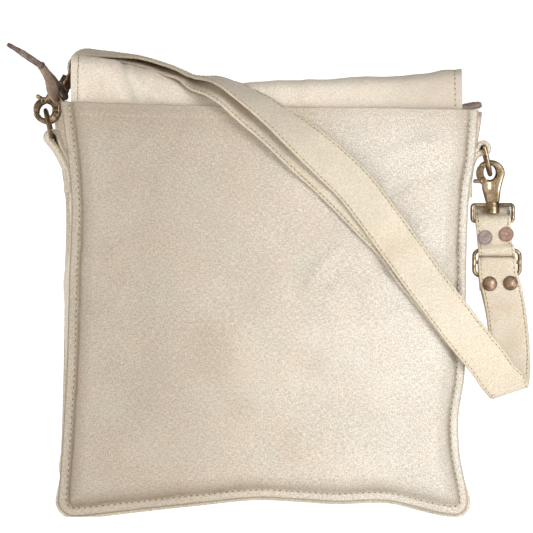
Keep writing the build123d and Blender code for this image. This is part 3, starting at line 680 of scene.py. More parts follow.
BACK = Outline(
    profile((0, -177.5), (13, -177.5), (37, -175.6), (67, -173.5), (129, -170), (202, -168),
            (262, -166), (300, -169), (349, -175.2)),
    profile((0, 169), (15, 168), (29, 165.5), (53, 161), (85, 160), (119, 165), (180, 166.2),
            (237, 167.2), (277, 169.5), (300, 173.6), (343, 177)),
    profile((-177, 0.2), (-159, 0.4), (-109, 6), (-53, 12), (-11, 16), (26, 14.5), (57, 12.6),
            (100, 13.4), (139, 4.4), (161, 0.8), (170, 0.4)),
    profile((-177, 349.6), (-167, 349.8), (-100, 347.4), (0, 345.2), (100, 344.2), (177, 343)),
)
FRONT = Outline(
    profile((0, -180), (37, -179), (67, -177.6), (129, -176), (202, -175), (262, -174),
            (300, -178.5), (345, -185.6)),
    profile((0, 170), (29, 166.5), (53, 163), (85, 162.6), (119, 166), (237, 168.6),
            (298, 177), (340, 183.4)),
    profile((-179, 0.2), (-150, 0.4), (-109, 2), (-53, 8.4), (-11, 12), (26, 10.8), (57, 9),
            (104, 8), (139, 1.4), (170, 0.4)),
    profile((-186, 350), (0, 344), (184, 344)),
)


# Soft creases of the cloth: from, to, half width, height
CREASES = [
    ((-150, 211), (-113, 233), 2.4, 0.7), ((-160, 110), (-70, 107), 1.5, -0.3),
    ((-103, 318), (-104, 250), 3.2, -0.5), ((-70, 324), (-86, 294), 4, 0.6),
    ((70, 70), (73, 40), 3, 0.6), ((-128, 290), (-96, 322), 5, 0.7),
    ((-92, 250), (-86, 320), 7, 0.55), ((-40, 322), (-20, 250), 8, 0.6),
    ((30, 178), (66, 232), 5, 0.9), ((44, 172), (74, 214), 4, -0.6),
    ((60, 212), (98, 172), 6, 0.6), ((96, 300), (150, 322), 7, 0.8),
    ((104, 270), (160, 300), 6, -0.7), ((112, 215), (150, 250), 9, 0.8),
    ((-60, 60), (10, 88), 12, 0.8), ((-140, 60), (-100, 110), 9, 0.7),
    ((70, 44), (130, 82), 10, 0.8), ((-150, 150), (-120, 200), 8, 0.6),
    ((40, 100), (120, 112), 9, 0.5),
]


def crease(x, z, start, end, width):
    """Height from 0 to 1 of a crease between two places, fading towards its ends."""
    dx, dz = end[0] - start[0], end[1] - start[1]
    long = math.hypot(dx, dz)
    t = ((x - start[0]) * dx + (z - start[1]) * dz) / long
    off = ((x - start[0]) * dz - (z - start[1]) * dx) / long + 2.0 * math.sin(t / 13)
    if not -8 < t < long + 8 or abs(off) > 3 * width:
        return 0.0
    return math.exp(-(off / width) ** 2) * step(-8, long * 0.3, t) * step(long + 8, long * 0.7, t)


BACK_SEED, FRONT_SEED = 0.0, 50.0


def panel_rise(a, b, seed):
    """How far the panel's cloth stands out from its seams; the front one is flatter, under the flap."""
    on_back = seed == BACK_SEED
    side = min(a, PANEL_W - a)
    d = min(side, b)
    full = step(6, 62, side) * step(6, 62, b)
    open_end = 1 - 0.75 * step(230, PANEL_H, b)
    rise = (2.0 if on_back else 0.8) * full * open_end
    rise += 3.4 * (1 - math.exp(-max(0.0, d - 9.5) / 8)) * (1 - 0.45 * step(290, PANEL_H, b))
    worn = 1.0 if on_back else 0.35
    swell = 1.7 * rough(a / 105, b / 130, seed) + 1.2 * rough(a / 42, b / 66, seed + 4)
    rise += worn * step(8, 60, d) * swell
    rise += 0.35 * step(8, 30, d) * rough(a / 17, b / 23, seed + 8)
    pull_side = peak(side, 13, 9) + 0.45 * peak(side, 26, 15)
    pull_low = peak(b, 13, 9) + 0.5 * peak(b, 28, 16)
    pucker = 0.85 * rough(b / 10, side / 60, seed + 12) + 0.9 * rough(b / 24, side / 80, seed + 2)
    rise += pull_side * (1.5 if a > PANEL_W / 2 else 1.0) * pucker
    rise += pull_low * (0.9 * rough(a / 11, b / 60, seed + 16) + 1.1 * rough(a / 28, b / 80, seed + 6))
    rise += 1.2 * peak(d, 3.4, 2.6) - 1.7 * peak(d, SEAM + 2.2, 2.6)
    curl = max(0.0, 1 - d / 6.5)
    rise += curl * (0.9 * rough(a / 24, b / 24, seed + 20) + 0.3 * rough(a / 7, b / 7, seed + 22))
    for start, end, width, height in CREASES:
        rise += worn * 3.6 * height * crease(a - PANEL_W / 2, b, start, end, width)
    hem = step(PANEL_H - HEM - 0.6, PANEL_H - HEM + 1.0, b)
    rise += 0.8 * hem - 0.9 * peak(b, PANEL_H - HEM - 0.4, 1.2)
    rise += 0.3 * step(310, PANEL_H, b) * rough(a / 11, b / 40, seed + 24)
    return rise


def panel_point(side, a, b):
    """Outer surface of the back (-1) or front (+1) panel."""
    outline = BACK if side < 0 else FRONT
    x, z = outline.place(a, b)
    rise = panel_rise(a, b, BACK_SEED if side < 0 else FRONT_SEED)
    return Vector((x, side * (PANEL_FACE_Y + rise), z))


def edge_graded(length, pace):
    """Places from 0 to length, close together at the seams."""
    near = [0, 0.8, 2, 3.5, 5, 6.2, 7.2, 8.2, 9.6, 11.4, 13.6]
    count = int(round((length - 2 * near[-1]) / pace))
    middle = [near[-1] + (length - 2 * near[-1]) * i / count for i in range(1, count)]
    return near + middle + [length - t for t in reversed(near)]


def panel_cloth(side, name, node_name):
    across = edge_graded(PANEL_W, CLOTH_PACE)
    up = edge_graded(PANEL_H, CLOTH_PACE)
    rows = [[panel_point(side, a, b) for a in across] for b in up]
    uv_rows = [[(a, b) for a in across] for b in up]
    obj = sheet_object(name, rows, uv_rows, CANVAS_BODY, PANEL_CLOTH, outward=-side)
    return belongs(obj, "bag", "body_canvas", node_name)


def line_on_panel(side, line):
    points = [panel_point(side, a, b) for a, b in line]
    return points, [Vector((0, side, 0))] * len(points)


def seam_line(inset, top):
    """Down the left seam, along the bottom and up the right seam, as (a, b) places."""
    arc = CORNER - inset
    line = [(inset, top - (top - CORNER) * i / 120) for i in range(121)]
    line += [(CORNER - arc, CORNER - arc * k / 4) for k in range(1, 5)]
    line += [(CORNER - arc + arc * k / 4, inset) for k in range(1, 5)]
    line += [(CORNER + (PANEL_W - 2 * CORNER) * i / 120, inset) for i in range(1, 121)]
    line += [(PANEL_W - CORNER + arc * k / 4, inset) for k in range(1, 5)]
    line += [(PANEL_W - inset, inset + arc * k / 4) for k in range(1, 5)]
    line += [(PANEL_W - inset, CORNER + (top - CORNER) * i / 120) for i in range(1, 121)]
    return line


def panel_stitches(side, name):
    sewn = Stitches()
    points, ups = line_on_panel(side, seam_line(SEAM - 0.4, PANEL_H - 1.5))
    sewn.row(points, ups, 5.0, 3.4, 0.42, 0.25, 1.0 + side)
    hem = [(8.5 + (PANEL_W - 17) * i / 150, PANEL_H - HEM + 0.2 * math.sin(i / 9)) for i in range(151)]
    points, ups = line_on_panel(side, hem)
    sewn.row(points, ups, 4.4, 3.0, 0.42, 0.25, 5.0 + side)
    return belongs(sewn.make(name, THREAD_TAN), "bag", "body_canvas")


LEFT_SWELL = profile((0, 3), (35, 7.5), (75, 4), (110, 5), (150, 8), (200, 8.5), (232, 5), (262, 6.5),
                     (285, 2.5), (341, 1.5))
RIGHT_SWELL = profile((0, 2), (60, 4.5), (120, 3.5), (200, 2), (260, 1.5), (341, 1))


def gusset_cloth():
    """The strip between the panels: its seam allowances stand out with the panels' as flanges."""
    top = 341.0
    line = seam_line(0.0, top)
    inner = seam_line(SEAM + 1.2, top)
    inner_y = PANEL_FACE_Y - PANEL_CLOTH
    rows, uv_rows = [], []
    run = 0.0
    last = None
    half = inner_y - 0.4
    for (a0, b0), (a1, b1) in zip(line, inner):
        row, uv_row = [], []
        out_back, in_back = Vector(BACK.place(a0, b0)), Vector(BACK.place(a1, b1))
        out_front, in_front = Vector(FRONT.place(a0, b0)), Vector(FRONT.place(a1, b1))
        if last is not None:
            run += (in_back - last).length
        last = in_back
        low = step(40, 10, b0)
        for k in (lerp(0.06, -0.26, low), 0.3, 0.55, 0.8):
            p = out_back.lerp(in_back, k)
            curl = panel_rise(lerp(a0, a1, k), lerp(b0, b1, k), BACK_SEED)
            row.append((p.x, -(inner_y + curl), p.y))
            uv_row.append((-half - SEAM * (1 - k), run))
        on_side = 1.0 if b1 > 20 else 0.0
        side_swell = LEFT_SWELL if a1 < PANEL_W / 2 else RIGHT_SWELL
        swell = lerp(2.0, side_swell(b1), step(8, 40, b1))
        for i in range(27):
            t = -1 + 2 * i / 26
            p = in_back.lerp(in_front, (t + 1) / 2)
            out = out_back.lerp(out_front, (t + 1) / 2) - p
            out = out.normalized() if out.length > 1e-6 else Vector((0, -1))
            bow = (1 - abs(t) ** 2.2) * swell
            bow += (1 - t * t) * (1.1 * rough(run / 34, t * 1.3, 60) + 0.5 * rough(run / 13, t * 2.2, 64))
            bow += 0.7 * peak(abs(t), 0.93, 0.08) * rough(run / 8, t, 68)
            bow -= on_side * 1.6 * peak(t, 0.05 + 0.2 * rough(run / 60, 0, 70), 0.16) * step(20, 120, b1)
            spot = p + out * bow
            row.append((spot.x, t * half, max(spot.y, 0.6)))
            uv_row.append((t * half, run))
        for k in (0.8, 0.55, 0.3, 0.06):
            p = out_front.lerp(in_front, k)
            curl = panel_rise(lerp(a0, a1, k), lerp(b0, b1, k), FRONT_SEED)
            row.append((p.x, inner_y + curl, p.y))
            uv_row.append((half + SEAM * (1 - k), run))
        rows.append([Vector(p) for p in row])
        uv_rows.append(uv_row)
    obj = sheet_object("gusset_cloth", rows, uv_rows, CANVAS_SIDE, 1.3, outward=-1)
    return belongs(obj, "bag", "body_canvas", "gusset_left", "gusset_right")


def gusset_join():
    """Seam allowance where the two gusset strips meet under the base, turned to one side."""
    rows, uv_rows = [], []
    for i in range(31):
        t = -1 + 2 * i / 30
        y = t * 35.4
        k = (t + 1) / 2
        base = lerp(BACK.bottom(-9), FRONT.bottom(-9), k) + SEAM
        drop = lerp(6.4, 3.4, math.sin(math.pi * k)) + 0.3 * rough(t * 4, 0, 3)
        base -= 2.0 * (1 - abs(t) ** 2.2)
        row = [(-3.6, y, base - 0.4), (-5.5, y, base - drop * 0.7), (-9, y, base - drop),
               (-12.8, y, base - drop * 0.95), (-15.0, y, base - drop * 0.55)]
        rows.append([Vector(p) for p in row])
        uv_rows.append([(j * 3.0, y) for j in range(5)])
    obj = sheet_object("gusset_join", rows, uv_rows, CANVAS_BODY, 1.4, outward=1)
    return belongs(obj, "bag", "body_canvas")


# ---- Flap -------------------------------------------------------------------------------------
FLAP_LEFT, FLAP_RIGHT = -166.6, 163.4
FLAP_ROOT_Z, FLAP_HEM_Z = 318.0, 150.0
FLAP_BACK_Y, FLAP_FRONT_Y = -34.7, 44.2
FLAP_ROWS, FLAP_PACE = 150, CLOTH_PACE
FLAP_FACE = 0.85             # stitches lie this far from the middle of the flap's cloth
RIDGE = profile((-167, 389.5), (-150, 387.2), (-128, 383.4), (-108, 379), (-87, 371.8), (-66, 363.8),
                (-57, 360.5), (-48, 358.6), (-38, 361.5), (-26, 365), (0, 366.6), (26, 367.3),
                (55, 369), (82, 370), (124, 372.6), (155, 377), (164, 378))
CROWN = profile((-167, 384), (-128, 382), (-108, 378), (-87, 371.5), (-66, 364), (-50, 360),
                (-26, 364), (0, 366), (55, 367), (124, 369.5), (164, 373))
BROW = profile((-167, 368), (-128, 367), (-60, 361), (0, 361), (124, 363), (164, 365))


def flap_line(x):
    """The flap's cloth at one place across its width, from its sewn root to its hem."""
    ridge, crown, brow = RIDGE(x), CROWN(x), BROW(x)
    points = [
        (FLAP_BACK_Y, FLAP_ROOT_Z), (-34.9, 332), (-34.9, 344), (-34.0, max(349, ridge - 15)),
        (-30.5, max(353.5, ridge - 5)), (-22, ridge), (-9, (ridge + crown) / 2 + 0.5),
        (6, crown), (28, brow), (39, 352), (43.4, 338), (FLAP_FRONT_Y, 320),
    ]
    for z in (285, 250, 215, 180, FLAP_HEM_Z):
        sway = 1.4 * rough(x / 70, z / 110, 80) + 0.6 * rough(x / 26, z / 80, 84)
        points.append((FLAP_FRONT_Y + max(-2.0, sway) * step(330, 240, z), z))
    return [Vector((x, y, z)) for y, z in points]


FLAP_CREASES = [
    ((-112, 346), (-124, 386), 3.2, -2.6), ((-120, 346), (-131, 384), 3.0, 2.2),
    ((-142, 348), (-135, 382), 4.0, -1.6), ((-84, 346), (-112, 372), 5, 1.9),
    ((-98, 346), (-100, 368), 4, -1.4), ((30, 346), (38, 366), 6, 1.5),
    ((92, 346), (84, 370), 7, 1.5), ((128, 346), (140, 374), 8, -1.4), ((-20, 346), (-6, 364), 7, 1.2),
]


def flap_rows():
    """Rows of the flap's middle surface, root to hem, with creases and edge puckers."""
    columns = [FLAP_LEFT + t for t in edge_graded(FLAP_RIGHT - FLAP_LEFT, CLOTH_PACE)]
    lines = [evenly(curve_through(flap_line(x), 2.0), FLAP_ROWS) for x in columns]
    rows = []
    for i in range(FLAP_ROWS):
        row = []
        for j, x in enumerate(columns):
            p = lines[j][i]
            before, after = lines[j][max(i - 1, 0)], lines[j][min(i + 1, FLAP_ROWS - 1)]
            way = (after - before).normalized()
            out = way.cross(Vector((1, 0, 0))).normalized() * -1
            s = i * FLAP_PACE
            edge = min(x - FLAP_LEFT, FLAP_RIGHT - x)
            free = step(12, 40, s)
            lift = free * (0.9 * rough(x / 30, s / 70, 90) + 0.35 * rough(x / 12, s / 30, 94))
            lift += free * 3.4 * step(-85, -115, x) * step(95, 45, s) * rough(x / 13, s / 90, 98)
            for start, end, width, height in FLAP_CREASES:
                lift += height * crease(x, p.z, start, end, width) if p.y < 0 else 0.0
            lift += 0.45 * peak(edge, 10, 6) * rough(s / 8, edge / 40, 102)
            lift -= 0.5 * peak(edge, 6, 1.4)
            free_of_hem = step(25, 33, s)
            row.append(p + out * lerp(max(lift, -0.4) * 0.4, lift, free_of_hem))
        rows.append(row)
    return columns, rows


def flap_normal(rows, i, j):
    a = rows[min(i + 1, len(rows) - 1)][j] - rows[max(i - 1, 0)][j]
    b = rows[i][min(j + 1, len(rows[0]) - 1)] - rows[i][max(j - 1, 0)]
    return b.cross(a).normalized()


def add_flap():
    columns, rows = flap_rows()
    uv_rows = [[(x, i * FLAP_PACE) for x in columns] for i in range(len(rows))]
    flap = sheet_object("flap_cloth", rows, uv_rows, CANVAS_FLAP, 1.6, outward=0.0)
    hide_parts("flap_back", "flap_front", "flap_hem")
    sewn = Stitches()
    left = min(range(len(columns)), key=lambda j: abs(columns[j] - FLAP_LEFT - 6))
    right = min(range(len(columns)), key=lambda j: abs(FLAP_RIGHT - columns[j] - 6))
    lower = FLAP_ROWS - 7
    seams = [([(i, j) for i in range(8, FLAP_ROWS - 1)], j) for j in (left, right)]
    seams.append(([(lower, j) for j in range(left, right + 1)], 7))
    for places, seed in seams:
        for face in (1, -1):
            ups = [flap_normal(rows, i, j) * face for i, j in places]
            points = [rows[i][j] + up * FLAP_FACE for (i, j), up in zip(places, ups)]
            sewn.row(points, ups, 4.6, 3.1, 0.4, 0.25, seed + face)
    stitching = sewn.make("flap_stitching", THREAD_TAN)
    for obj in (flap, stitching):
        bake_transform(obj)


# ---- Strap ------------------------------------------------------------------------------------
STRAP_HALF = 17.0
STRAP_T = 2.3
RING_Y = 6.0
RIGHT_BAR = (191.0, RING_Y, 249.5)
LEFT_BAR = (-166.5, RING_Y, 378.0)
SLIDE_BAR = (194.8, 5.0, 214.6)
EYE_WRAP, SLIDE_WRAP = 3.3, 3.1
NARROW, SLIDE_FIT = 14.4, 16.4
CREASE = (0.95, 0.0, 0.312)
FOLD = (201.6, -33.0, 109.4)
ACROSS = (0.777, 0.0, 0.63)
X_WAY, Y_WAY = (1, 0, 0), (0, 1, 0)

OUTER_ROUTE = [
    ((193.0, -42.6, 118.6), (0.92, 0, 0.39)), ((186.0, -43.2, 129.0), (0.85, 0, 0.53)),
    ((171.0, -43.2, 147.0), ACROSS), ((156.0, -43.2, 166.0), ACROSS), ((141.6, -43.2, 185.0), ACROSS),
    ((124.4, -43.2, 208.3), ACROSS), ((108.6, -43.2, 230.2), ACROSS), ((90.7, -43.2, 254.7), ACROSS),
    ((71.8, -43.4, 278.8), (0.77, 0.06, 0.63)), ((54.7, -43.8, 295.5), (0.72, 0.12, 0.70), 16.8),
    ((37.5, -45.0, 310.9), (21.9, 9, 22.3), 16.4), ((8.8, -46.5, 335.1), (15.2, 19, 16.8), 15.4),
    ((-9.4, -46.5, 348.8), (12.2, 23, 13.9), 15.4), ((-27.8, -39.0, 361.2), (9.3, 28, 8.4), 16),
    ((-38.6, -33.0, 366.8), (4.6, 32, 5.6)), ((-48.4, -26.0, 370.0), (1.7, 33, 4.5)),
    ((-57.7, -21.0, 371.3), (0, 1, 0.08)), ((-66.0, -17.0, 373.2), (0, 1, 0.06)),
    ((-74.5, -13.0, 376.9), (0, 1, 0.06)), ((-87.0, -8.0, 382.0), (0, 1, 0.07)),
    ((-108.0, -2.0, 388.3), (0, 1, 0.07)), ((-129.0, 3.0, 390.9), (0, 1, 0.13)),
    ((-144.0, RING_Y, 392.4), (0, 1, 0.17)), ((-157.0, RING_Y, 393.4), (0, 1, 0.20)),
    ((-164.0, RING_Y, 391.0), (0, 1, 0.17)), ((-168.8, RING_Y, 385.6), (0, 1, 0.08)),
]
INNER_ROUTE = [
    ((-158.4, RING_Y, 383.8), (0, 1, 0.08)), ((-146.0, RING_Y, 387.4), (0, 1, 0.17)),
    ((-129.0, 3.0, 387.4), (0, 1, 0.19)), ((-108.0, -2.5, 383.6), (0, 1, 0.20)),
    ((-87.0, -9.0, 376.6), (0, 1, 0.21)), ((-74.5, -15.0, 372.3), (0, 1, 0.21)),
    ((-66.0, -19.0, 368.6), (0.05, 1, 0.21)), ((-57.7, -25.0, 365.2), (0.12, 0.93, 0.36), 16),
    ((-45.2, -36.0, 360.0), (4.8, 26, 12.0), 14.6), ((-35.1, -41.5, 354.6), (9.3, 18, 13.0), 14),
    ((-16.7, -43.6, 339.4), (12.2, 12, 13.9), 13), ((1.5, -43.0, 326.9), (15.2, 8, 16.8), 14),
    ((29.8, -41.4, 303.0), (21.9, 2, 22.3), 15.6),
    ((47.7, -40.4, 288.4), ACROSS), ((64.1, -40.2, 272.5), ACROSS),
    ((85.3, -40.2, 250.7), ACROSS), ((106.6, -40.2, 228.7), ACROSS), ((122.0, -40.2, 206.5), ACROSS),
    ((140.5, -40.2, 184.0), ACROSS), ((155.5, -40.2, 165.5), ACROSS), ((171.0, -40.2, 147.0), ACROSS),
    ((186.0, -40.2, 129.0), (0.85, 0, 0.53)), ((193.0, -39.6, 118.6), (0.92, 0, 0.39)),
]


def route(places):
    """Stations of the strap's full width, but for the places where its curl hides some of it."""
    return [(place[0], place[1], place[2] if len(place) > 2 else STRAP_HALF) for place in places]


def around_bar(bar, degs, radius, half, along_x):
    out = []
    for deg in degs:
        t = math.radians(deg)
        side, rise = radius * math.cos(t), radius * math.sin(t)
        if along_x:
            out.append(((bar[0], bar[1] + side, bar[2] + rise), X_WAY, half))
        else:
            out.append(((bar[0] + side, bar[1], bar[2] + rise), Y_WAY, half))
    return out


def crease_turn(radius, upward):
    degs = (-90, -45, 0, 45, 90) if upward else (90, 45, 0, -45, -90)
    out = []
    for deg in degs:
        t = math.radians(deg)
        drop = radius * math.cos(t)
        point = (FOLD[0] + CREASE[2] * drop, FOLD[1] + radius * math.sin(t), FOLD[2] - CREASE[0] * drop)
        out.append((point, CREASE, STRAP_HALF / CREASE[0] * (1 - 0.09 * math.cos(t) ** 2)))
    return out


# From the sewn end inside the loop, round the right eye and over the outside of the slide
EYE_X = RIGHT_BAR[0] + 0.4
EYE_ROUTE = [
    ((192.6, 7.4, 229.5), X_WAY, NARROW), ((191.6, 9.6, 243.2), X_WAY, NARROW),
    ((EYE_X, 14.6, 252.0), X_WAY, 15.4), ((EYE_X, 17.0, 258.0), X_WAY, 15.4),
    ((EYE_X, 15.8, 261.0), X_WAY, 15.4), ((EYE_X, 13.4, 257.8), X_WAY, 15.4),
    ((EYE_X, 10.2, 254.7), X_WAY, 15.4), ((EYE_X, 5.8, 253.0), X_WAY, 15.4),
    ((EYE_X, 2.9, 249.4), X_WAY, 15.0), ((191.6, 3.7, 243.2), X_WAY, 14.6),
    ((192.4, 4.45, 237.0), X_WAY, 14.8), ((193.0, 4.6, 229.0), X_WAY, 14.8),
    ((193.8, 1.5, 226.0), X_WAY, 15.6), ((194.4, 1.9, 222.8), X_WAY, 15.6),
    ((194.6, 5.2, 220.9), X_WAY, 15.6), ((194.6, 9.6, 219.2), X_WAY, 15.8),
    ((194.8, 11.4, 213.0), X_WAY, 16.4), ((195.6, 12.0, 203.0), X_WAY, 16.6),
    ((197.4, 10.8, 194.0), X_WAY), ((202.4, -1.0, 168.0), X_WAY),
    ((204.4, -16.6, 134.0), (1, 0, 0.10)), ((203.6, -26.0, 119.0), (0.98, 0, 0.22), 17.4),
]


def outer_stations():
    stations = route(EYE_ROUTE)
    stations += crease_turn(4.8, upward=False)
    stations += route(OUTER_ROUTE)
    stations += around_bar(LEFT_BAR, (170, 210, 248), EYE_WRAP, NARROW, False)
    return stations


# From the bottom fold up behind the slide, and from its middle bar down to the domed rivets
SLIDE_ROUTE = [
    ((204.4, -19.8, 134.0), (1, 0, 0.10)), ((202.4, -5.6, 168.0), X_WAY),
    ((199.0, 1.8, 190.0), X_WAY), ((195.6, 1.8, 203.0), X_WAY, SLIDE_FIT),
]
RIVETED_END = [
    ((195.2, 8.9, 204.6), X_WAY, SLIDE_FIT), ((195.8, 6.9, 199.6), X_WAY, SLIDE_FIT),
    ((196.2, 6.9, 191.0), X_WAY, SLIDE_FIT),
]


def inner_stations():
    stations = around_bar(LEFT_BAR, (272, 310, 345), EYE_WRAP, NARROW, False)
    stations += route(INNER_ROUTE)
    stations += crease_turn(1.5, upward=True)
    stations += route(SLIDE_ROUTE)
    stations += around_bar(SLIDE_BAR, (180, 135, 90, 45, 0), SLIDE_WRAP, SLIDE_FIT, True)
    return stations + RIVETED_END


def bulge_under(p, across, half):
    """How far the back panel's cloth stands out under the strap at this place."""
    most = 0.0
    for k in (-1, -0.5, 0, 0.5, 1):
        q = p + across * (k * half)
        a, b = q.x + PANEL_W / 2, q.z
        if 0 < a < PANEL_W and 0 < b < PANEL_H:
            most = max(most, panel_rise(a, b, BACK_SEED))
    return most


def strap_frames(stations, spacing=CLOTH_PACE):
    """Centre, way, across, face direction and half width along the strap."""
    centres = [Vector(s[0]) for s in stations]
    acrosses = [Vector(s[1]).normalized() for s in stations]
    counts = [max(2, int(round((b - a).length / spacing))) for a, b in zip(centres, centres[1:])]
    dense = []
    for i, count in enumerate(counts):
        window = curve_through(centres[max(i - 1, 0):i + 3], spacing)
        skip = counts[i - 1] if i else 0
        part = window[skip:skip + count]
        for k, p in enumerate(part):
            t = k / len(part)
            half = lerp(stations[i][2], stations[i + 1][2], t)
            dense.append((p, acrosses[i].lerp(acrosses[i + 1], t), half))
    dense.append((centres[-1], acrosses[-1], stations[-1][2]))
    frames = []
    for p, across, half in dense:
        across = across.normalized()
        if p.y < -39.0 and p.z < 346:
            p = p + Vector((0, -1, 0)) * bulge_under(p, across, half) * step(346, 325, p.z)
        frames.append([p, across, half])
    out = []
    for i, (p, across, half) in enumerate(frames):
        way = (frames[min(i + 1, len(frames) - 1)][0] - frames[max(i - 1, 0)][0]).normalized()
        across = (across - way * across.dot(way)).normalized()
        out.append((p, way, across, way.cross(across).normalized(), half))
    return out


# Distance from the edge, and share of the half width, each with the strap's height there
EDGE_SHAPE = [(0.0, 0.10), (0.25, 0.62), (0.9, 1.0), (1.8, 0.92), (2.5, 0.78), (3.3, 0.96), (5.0, 1.02)]
MIDDLE_SHAPE = [(-0.55, 1.0), (-0.25, 0.97), (0, 0.96), (0.25, 0.97), (0.55, 1.0)]


def strap_section(half, thickness):
    """Points round the strap: (across, up), a doubled and edge-stitched canvas."""
    t = thickness / 2
    edge = [(-half + d, t * h) for d, h in EDGE_SHAPE]
    middle = [(half * k, t * h) for k, h in MIDDLE_SHAPE]
    top = edge + middle + [(half - d, t * h) for d, h in reversed(EDGE_SHAPE)]
    return top + [(x, -y) for x, y in reversed(top)]


def strap_object(name, frames, seed, cad_node):
    verts, uvs = [], []
    run = 0.0
    columns = len(strap_section(STRAP_HALF, STRAP_T))
    for i, (p, _, across, up, half) in enumerate(frames):
        if i:
            run += (p - frames[i - 1][0]).length
        for x, y in strap_section(half, STRAP_T):
            wave = 0.16 * rough(run / 7, x / 9, seed) * (abs(x) / half)
            wave += 0.1 * rough(run / 18, x / 20, seed + 3)
            verts.append(p + across * x + up * (y + wave))
            uvs.append((x if y > 0 else x + 50, run))
    obj = make_object(name, verts, tube_faces(len(frames), columns), CANVAS_STRAP, uvs)
    return belongs(obj, "bag", "strap_canvas", cad_node)


def strap_rows(sewn, frames, seed):
    for edge in (-1, 1):
        for face in (-1, 1):
            points = [
                p + across * (edge * (half - 2.4)) + up * (face * (STRAP_T / 2 * 0.86))
                for p, _, across, up, half in frames
            ]
            ups = [up * face for _, _, _, up, _ in frames]
            sewn.row(points, ups, 4.2, 2.9, 0.36, 0.2, seed + edge * 2 + face)


def cross_row(sewn, frames, index, seed):
    """A line of stitches straight across the strap."""
    p, _, across, up, half = frames[index]
    for face in (-1, 1):
        points = [p + across * (k * (half - 2.4)) + up * (face * STRAP_T / 2 * 0.9) for k in (-1, 0, 1)]
        sewn.row(points, [up * face] * 3, 4.0, 2.8, 0.36, 0.2, seed + face)


def add_strap():
    outer, inner = strap_frames(outer_stations()), strap_frames(inner_stations())
    strap_object("strap_outer_cloth", outer, 110.0, "strap_outer_run")
    strap_object("strap_inner_cloth", inner, 120.0, "strap_inner_run")
    sewn = Stitches()
    strap_rows(sewn, outer, 1.0)
    strap_rows(sewn, inner, 9.0)
    cross_row(sewn, outer, 2, 3.0)
    cross_row(sewn, inner, len(inner) - 3, 4.0)
    belongs(sewn.make("strap_stitching", THREAD_GOLD), "bag", "strap_canvas")


# ---- Loops on the gusset ----------------------------------------------------------------------
def ribbon_object(name, line, across, half, thickness, material, edge=0.5):
    """A flat strip with rounded edges along a line of points; half may vary along it."""
    verts, uvs = [], []
    run = 0.0
    shape = [(-1, 0.0), (-1 + edge * 0.12, 0.7), (-1 + edge * 0.4, 1.0), (0, 1.0), (1 - edge * 0.4, 1.0),
             (1 - edge * 0.12, 0.7), (1, 0.0), (1 - edge * 0.12, -0.7), (1 - edge * 0.4, -1.0), (0, -1.0),
             (-1 + edge * 0.4, -1.0), (-1 + edge * 0.12, -0.7)]
    count = len(line)
    for i, p in enumerate(line):
        if i:
            run += (p - line[i - 1]).length
        way = (line[min(i + 1, count - 1)] - line[max(i - 1, 0)]).normalized()
        side = across[i] if isinstance(across, list) else across
        side = (side - way * side.dot(way)).normalized()
        up = way.cross(side)
        width = half[i] if isinstance(half, list) else half
        depth = thickness[i] if isinstance(thickness, list) else thickness
        for x, y in shape:
            verts.append(p + side * (x * width) + up * (y * depth / 2))
            uvs.append((x * width + (40 if y < 0 else 0), run))
    return make_object(name, verts, tube_faces(count, len(shape)), material, uvs)


SIDE_WALL = 168.4            # outer face of the gusset where the loops are sewn
LOOP_HALF, LOOP_T = 12.3, 4.0
LOOP_SEWN = 9.8              # rows of stitches on a loop, from its middle


def loop_cloth(side, bar, join, low, slack, slant):
    """Canvas loop: both ends sewn flat on the gusset, the middle round the ring's bar.

    Both layers are sewn from `low` up to the join, and run on from there to the bar.
    """
    name = "left" if side < 0 else "right"
    bar_at, join_at = Vector((abs(bar[0]), 0, bar[1])), Vector((join[0], 0, join[1]))
    half_way = (bar_at + join_at) / 2
    way = Vector((join[0] - abs(bar[0]), 0, join[1] - bar[1])).normalized()
    out = Vector((way.z, 0, -way.x))
    out = out if out.x > 0 else -out
    line = [Vector((SIDE_WALL + 2.6, 0, low)), Vector((SIDE_WALL + 2.8, 0, lerp(low, join[1], 0.55)))]
    line += [join_at + out * 1.7, half_way + out * 2.1]
    start = math.degrees(math.atan2(out.z, out.x))
    for k in range(0, 190, 30):
        t = math.radians(start + k)
        line.append(bar_at + Vector((math.cos(t), 0, math.sin(t))) * slack)
    line += [half_way - out * 2.1, join_at - out * 1.7]
    line += [Vector((SIDE_WALL + 0.6, 0, lerp(low, join[1], 0.5))), Vector((SIDE_WALL + 0.3, 0, low + 5))]
    line = curve_through([Vector((side * p.x, RING_Y, p.z)) for p in line], 1.2)
    arm = join[1] - 8
    across = Vector((side * slant, 1, 0))
    obj = ribbon_object("loop_cloth_" + name, line, across, LOOP_HALF, LOOP_T, CANVAS_SIDE, 0.35)
    sewn = Stitches()
    for y in (-LOOP_SEWN, LOOP_SEWN):
        row = [p + Vector((side * 1.05, y, 0)) for p in line if p.z < arm and abs(p.x) > SIDE_WALL + 1.0][:18]
        if len(row) > 3:
            sewn.row(row, [Vector((side, 0, 0))] * len(row), 3.8, 2.6, 0.36, 0.1, y)
    for height in (low + 2.4, arm - 3.0):
        row = [Vector((side * (SIDE_WALL + 2.5), RING_Y + y, height)) for y in (-LOOP_SEWN, 0, LOOP_SEWN)]
        sewn.row(row, [Vector((side, 0, 0))] * 3, 3.8, 2.6, 0.36, 0.1, height)
    belongs(sewn.make("loop_stitching_" + name, THREAD_TAN), "bag", "body_canvas")
    return belongs(obj, "bag", "body_canvas", "loop_tab_" + name)


# ---- Zip --------------------------------------------------------------------------------------
ZIP_Y, ZIP_Z = -5.0, 345.6
ZIP_HALF = 160.0


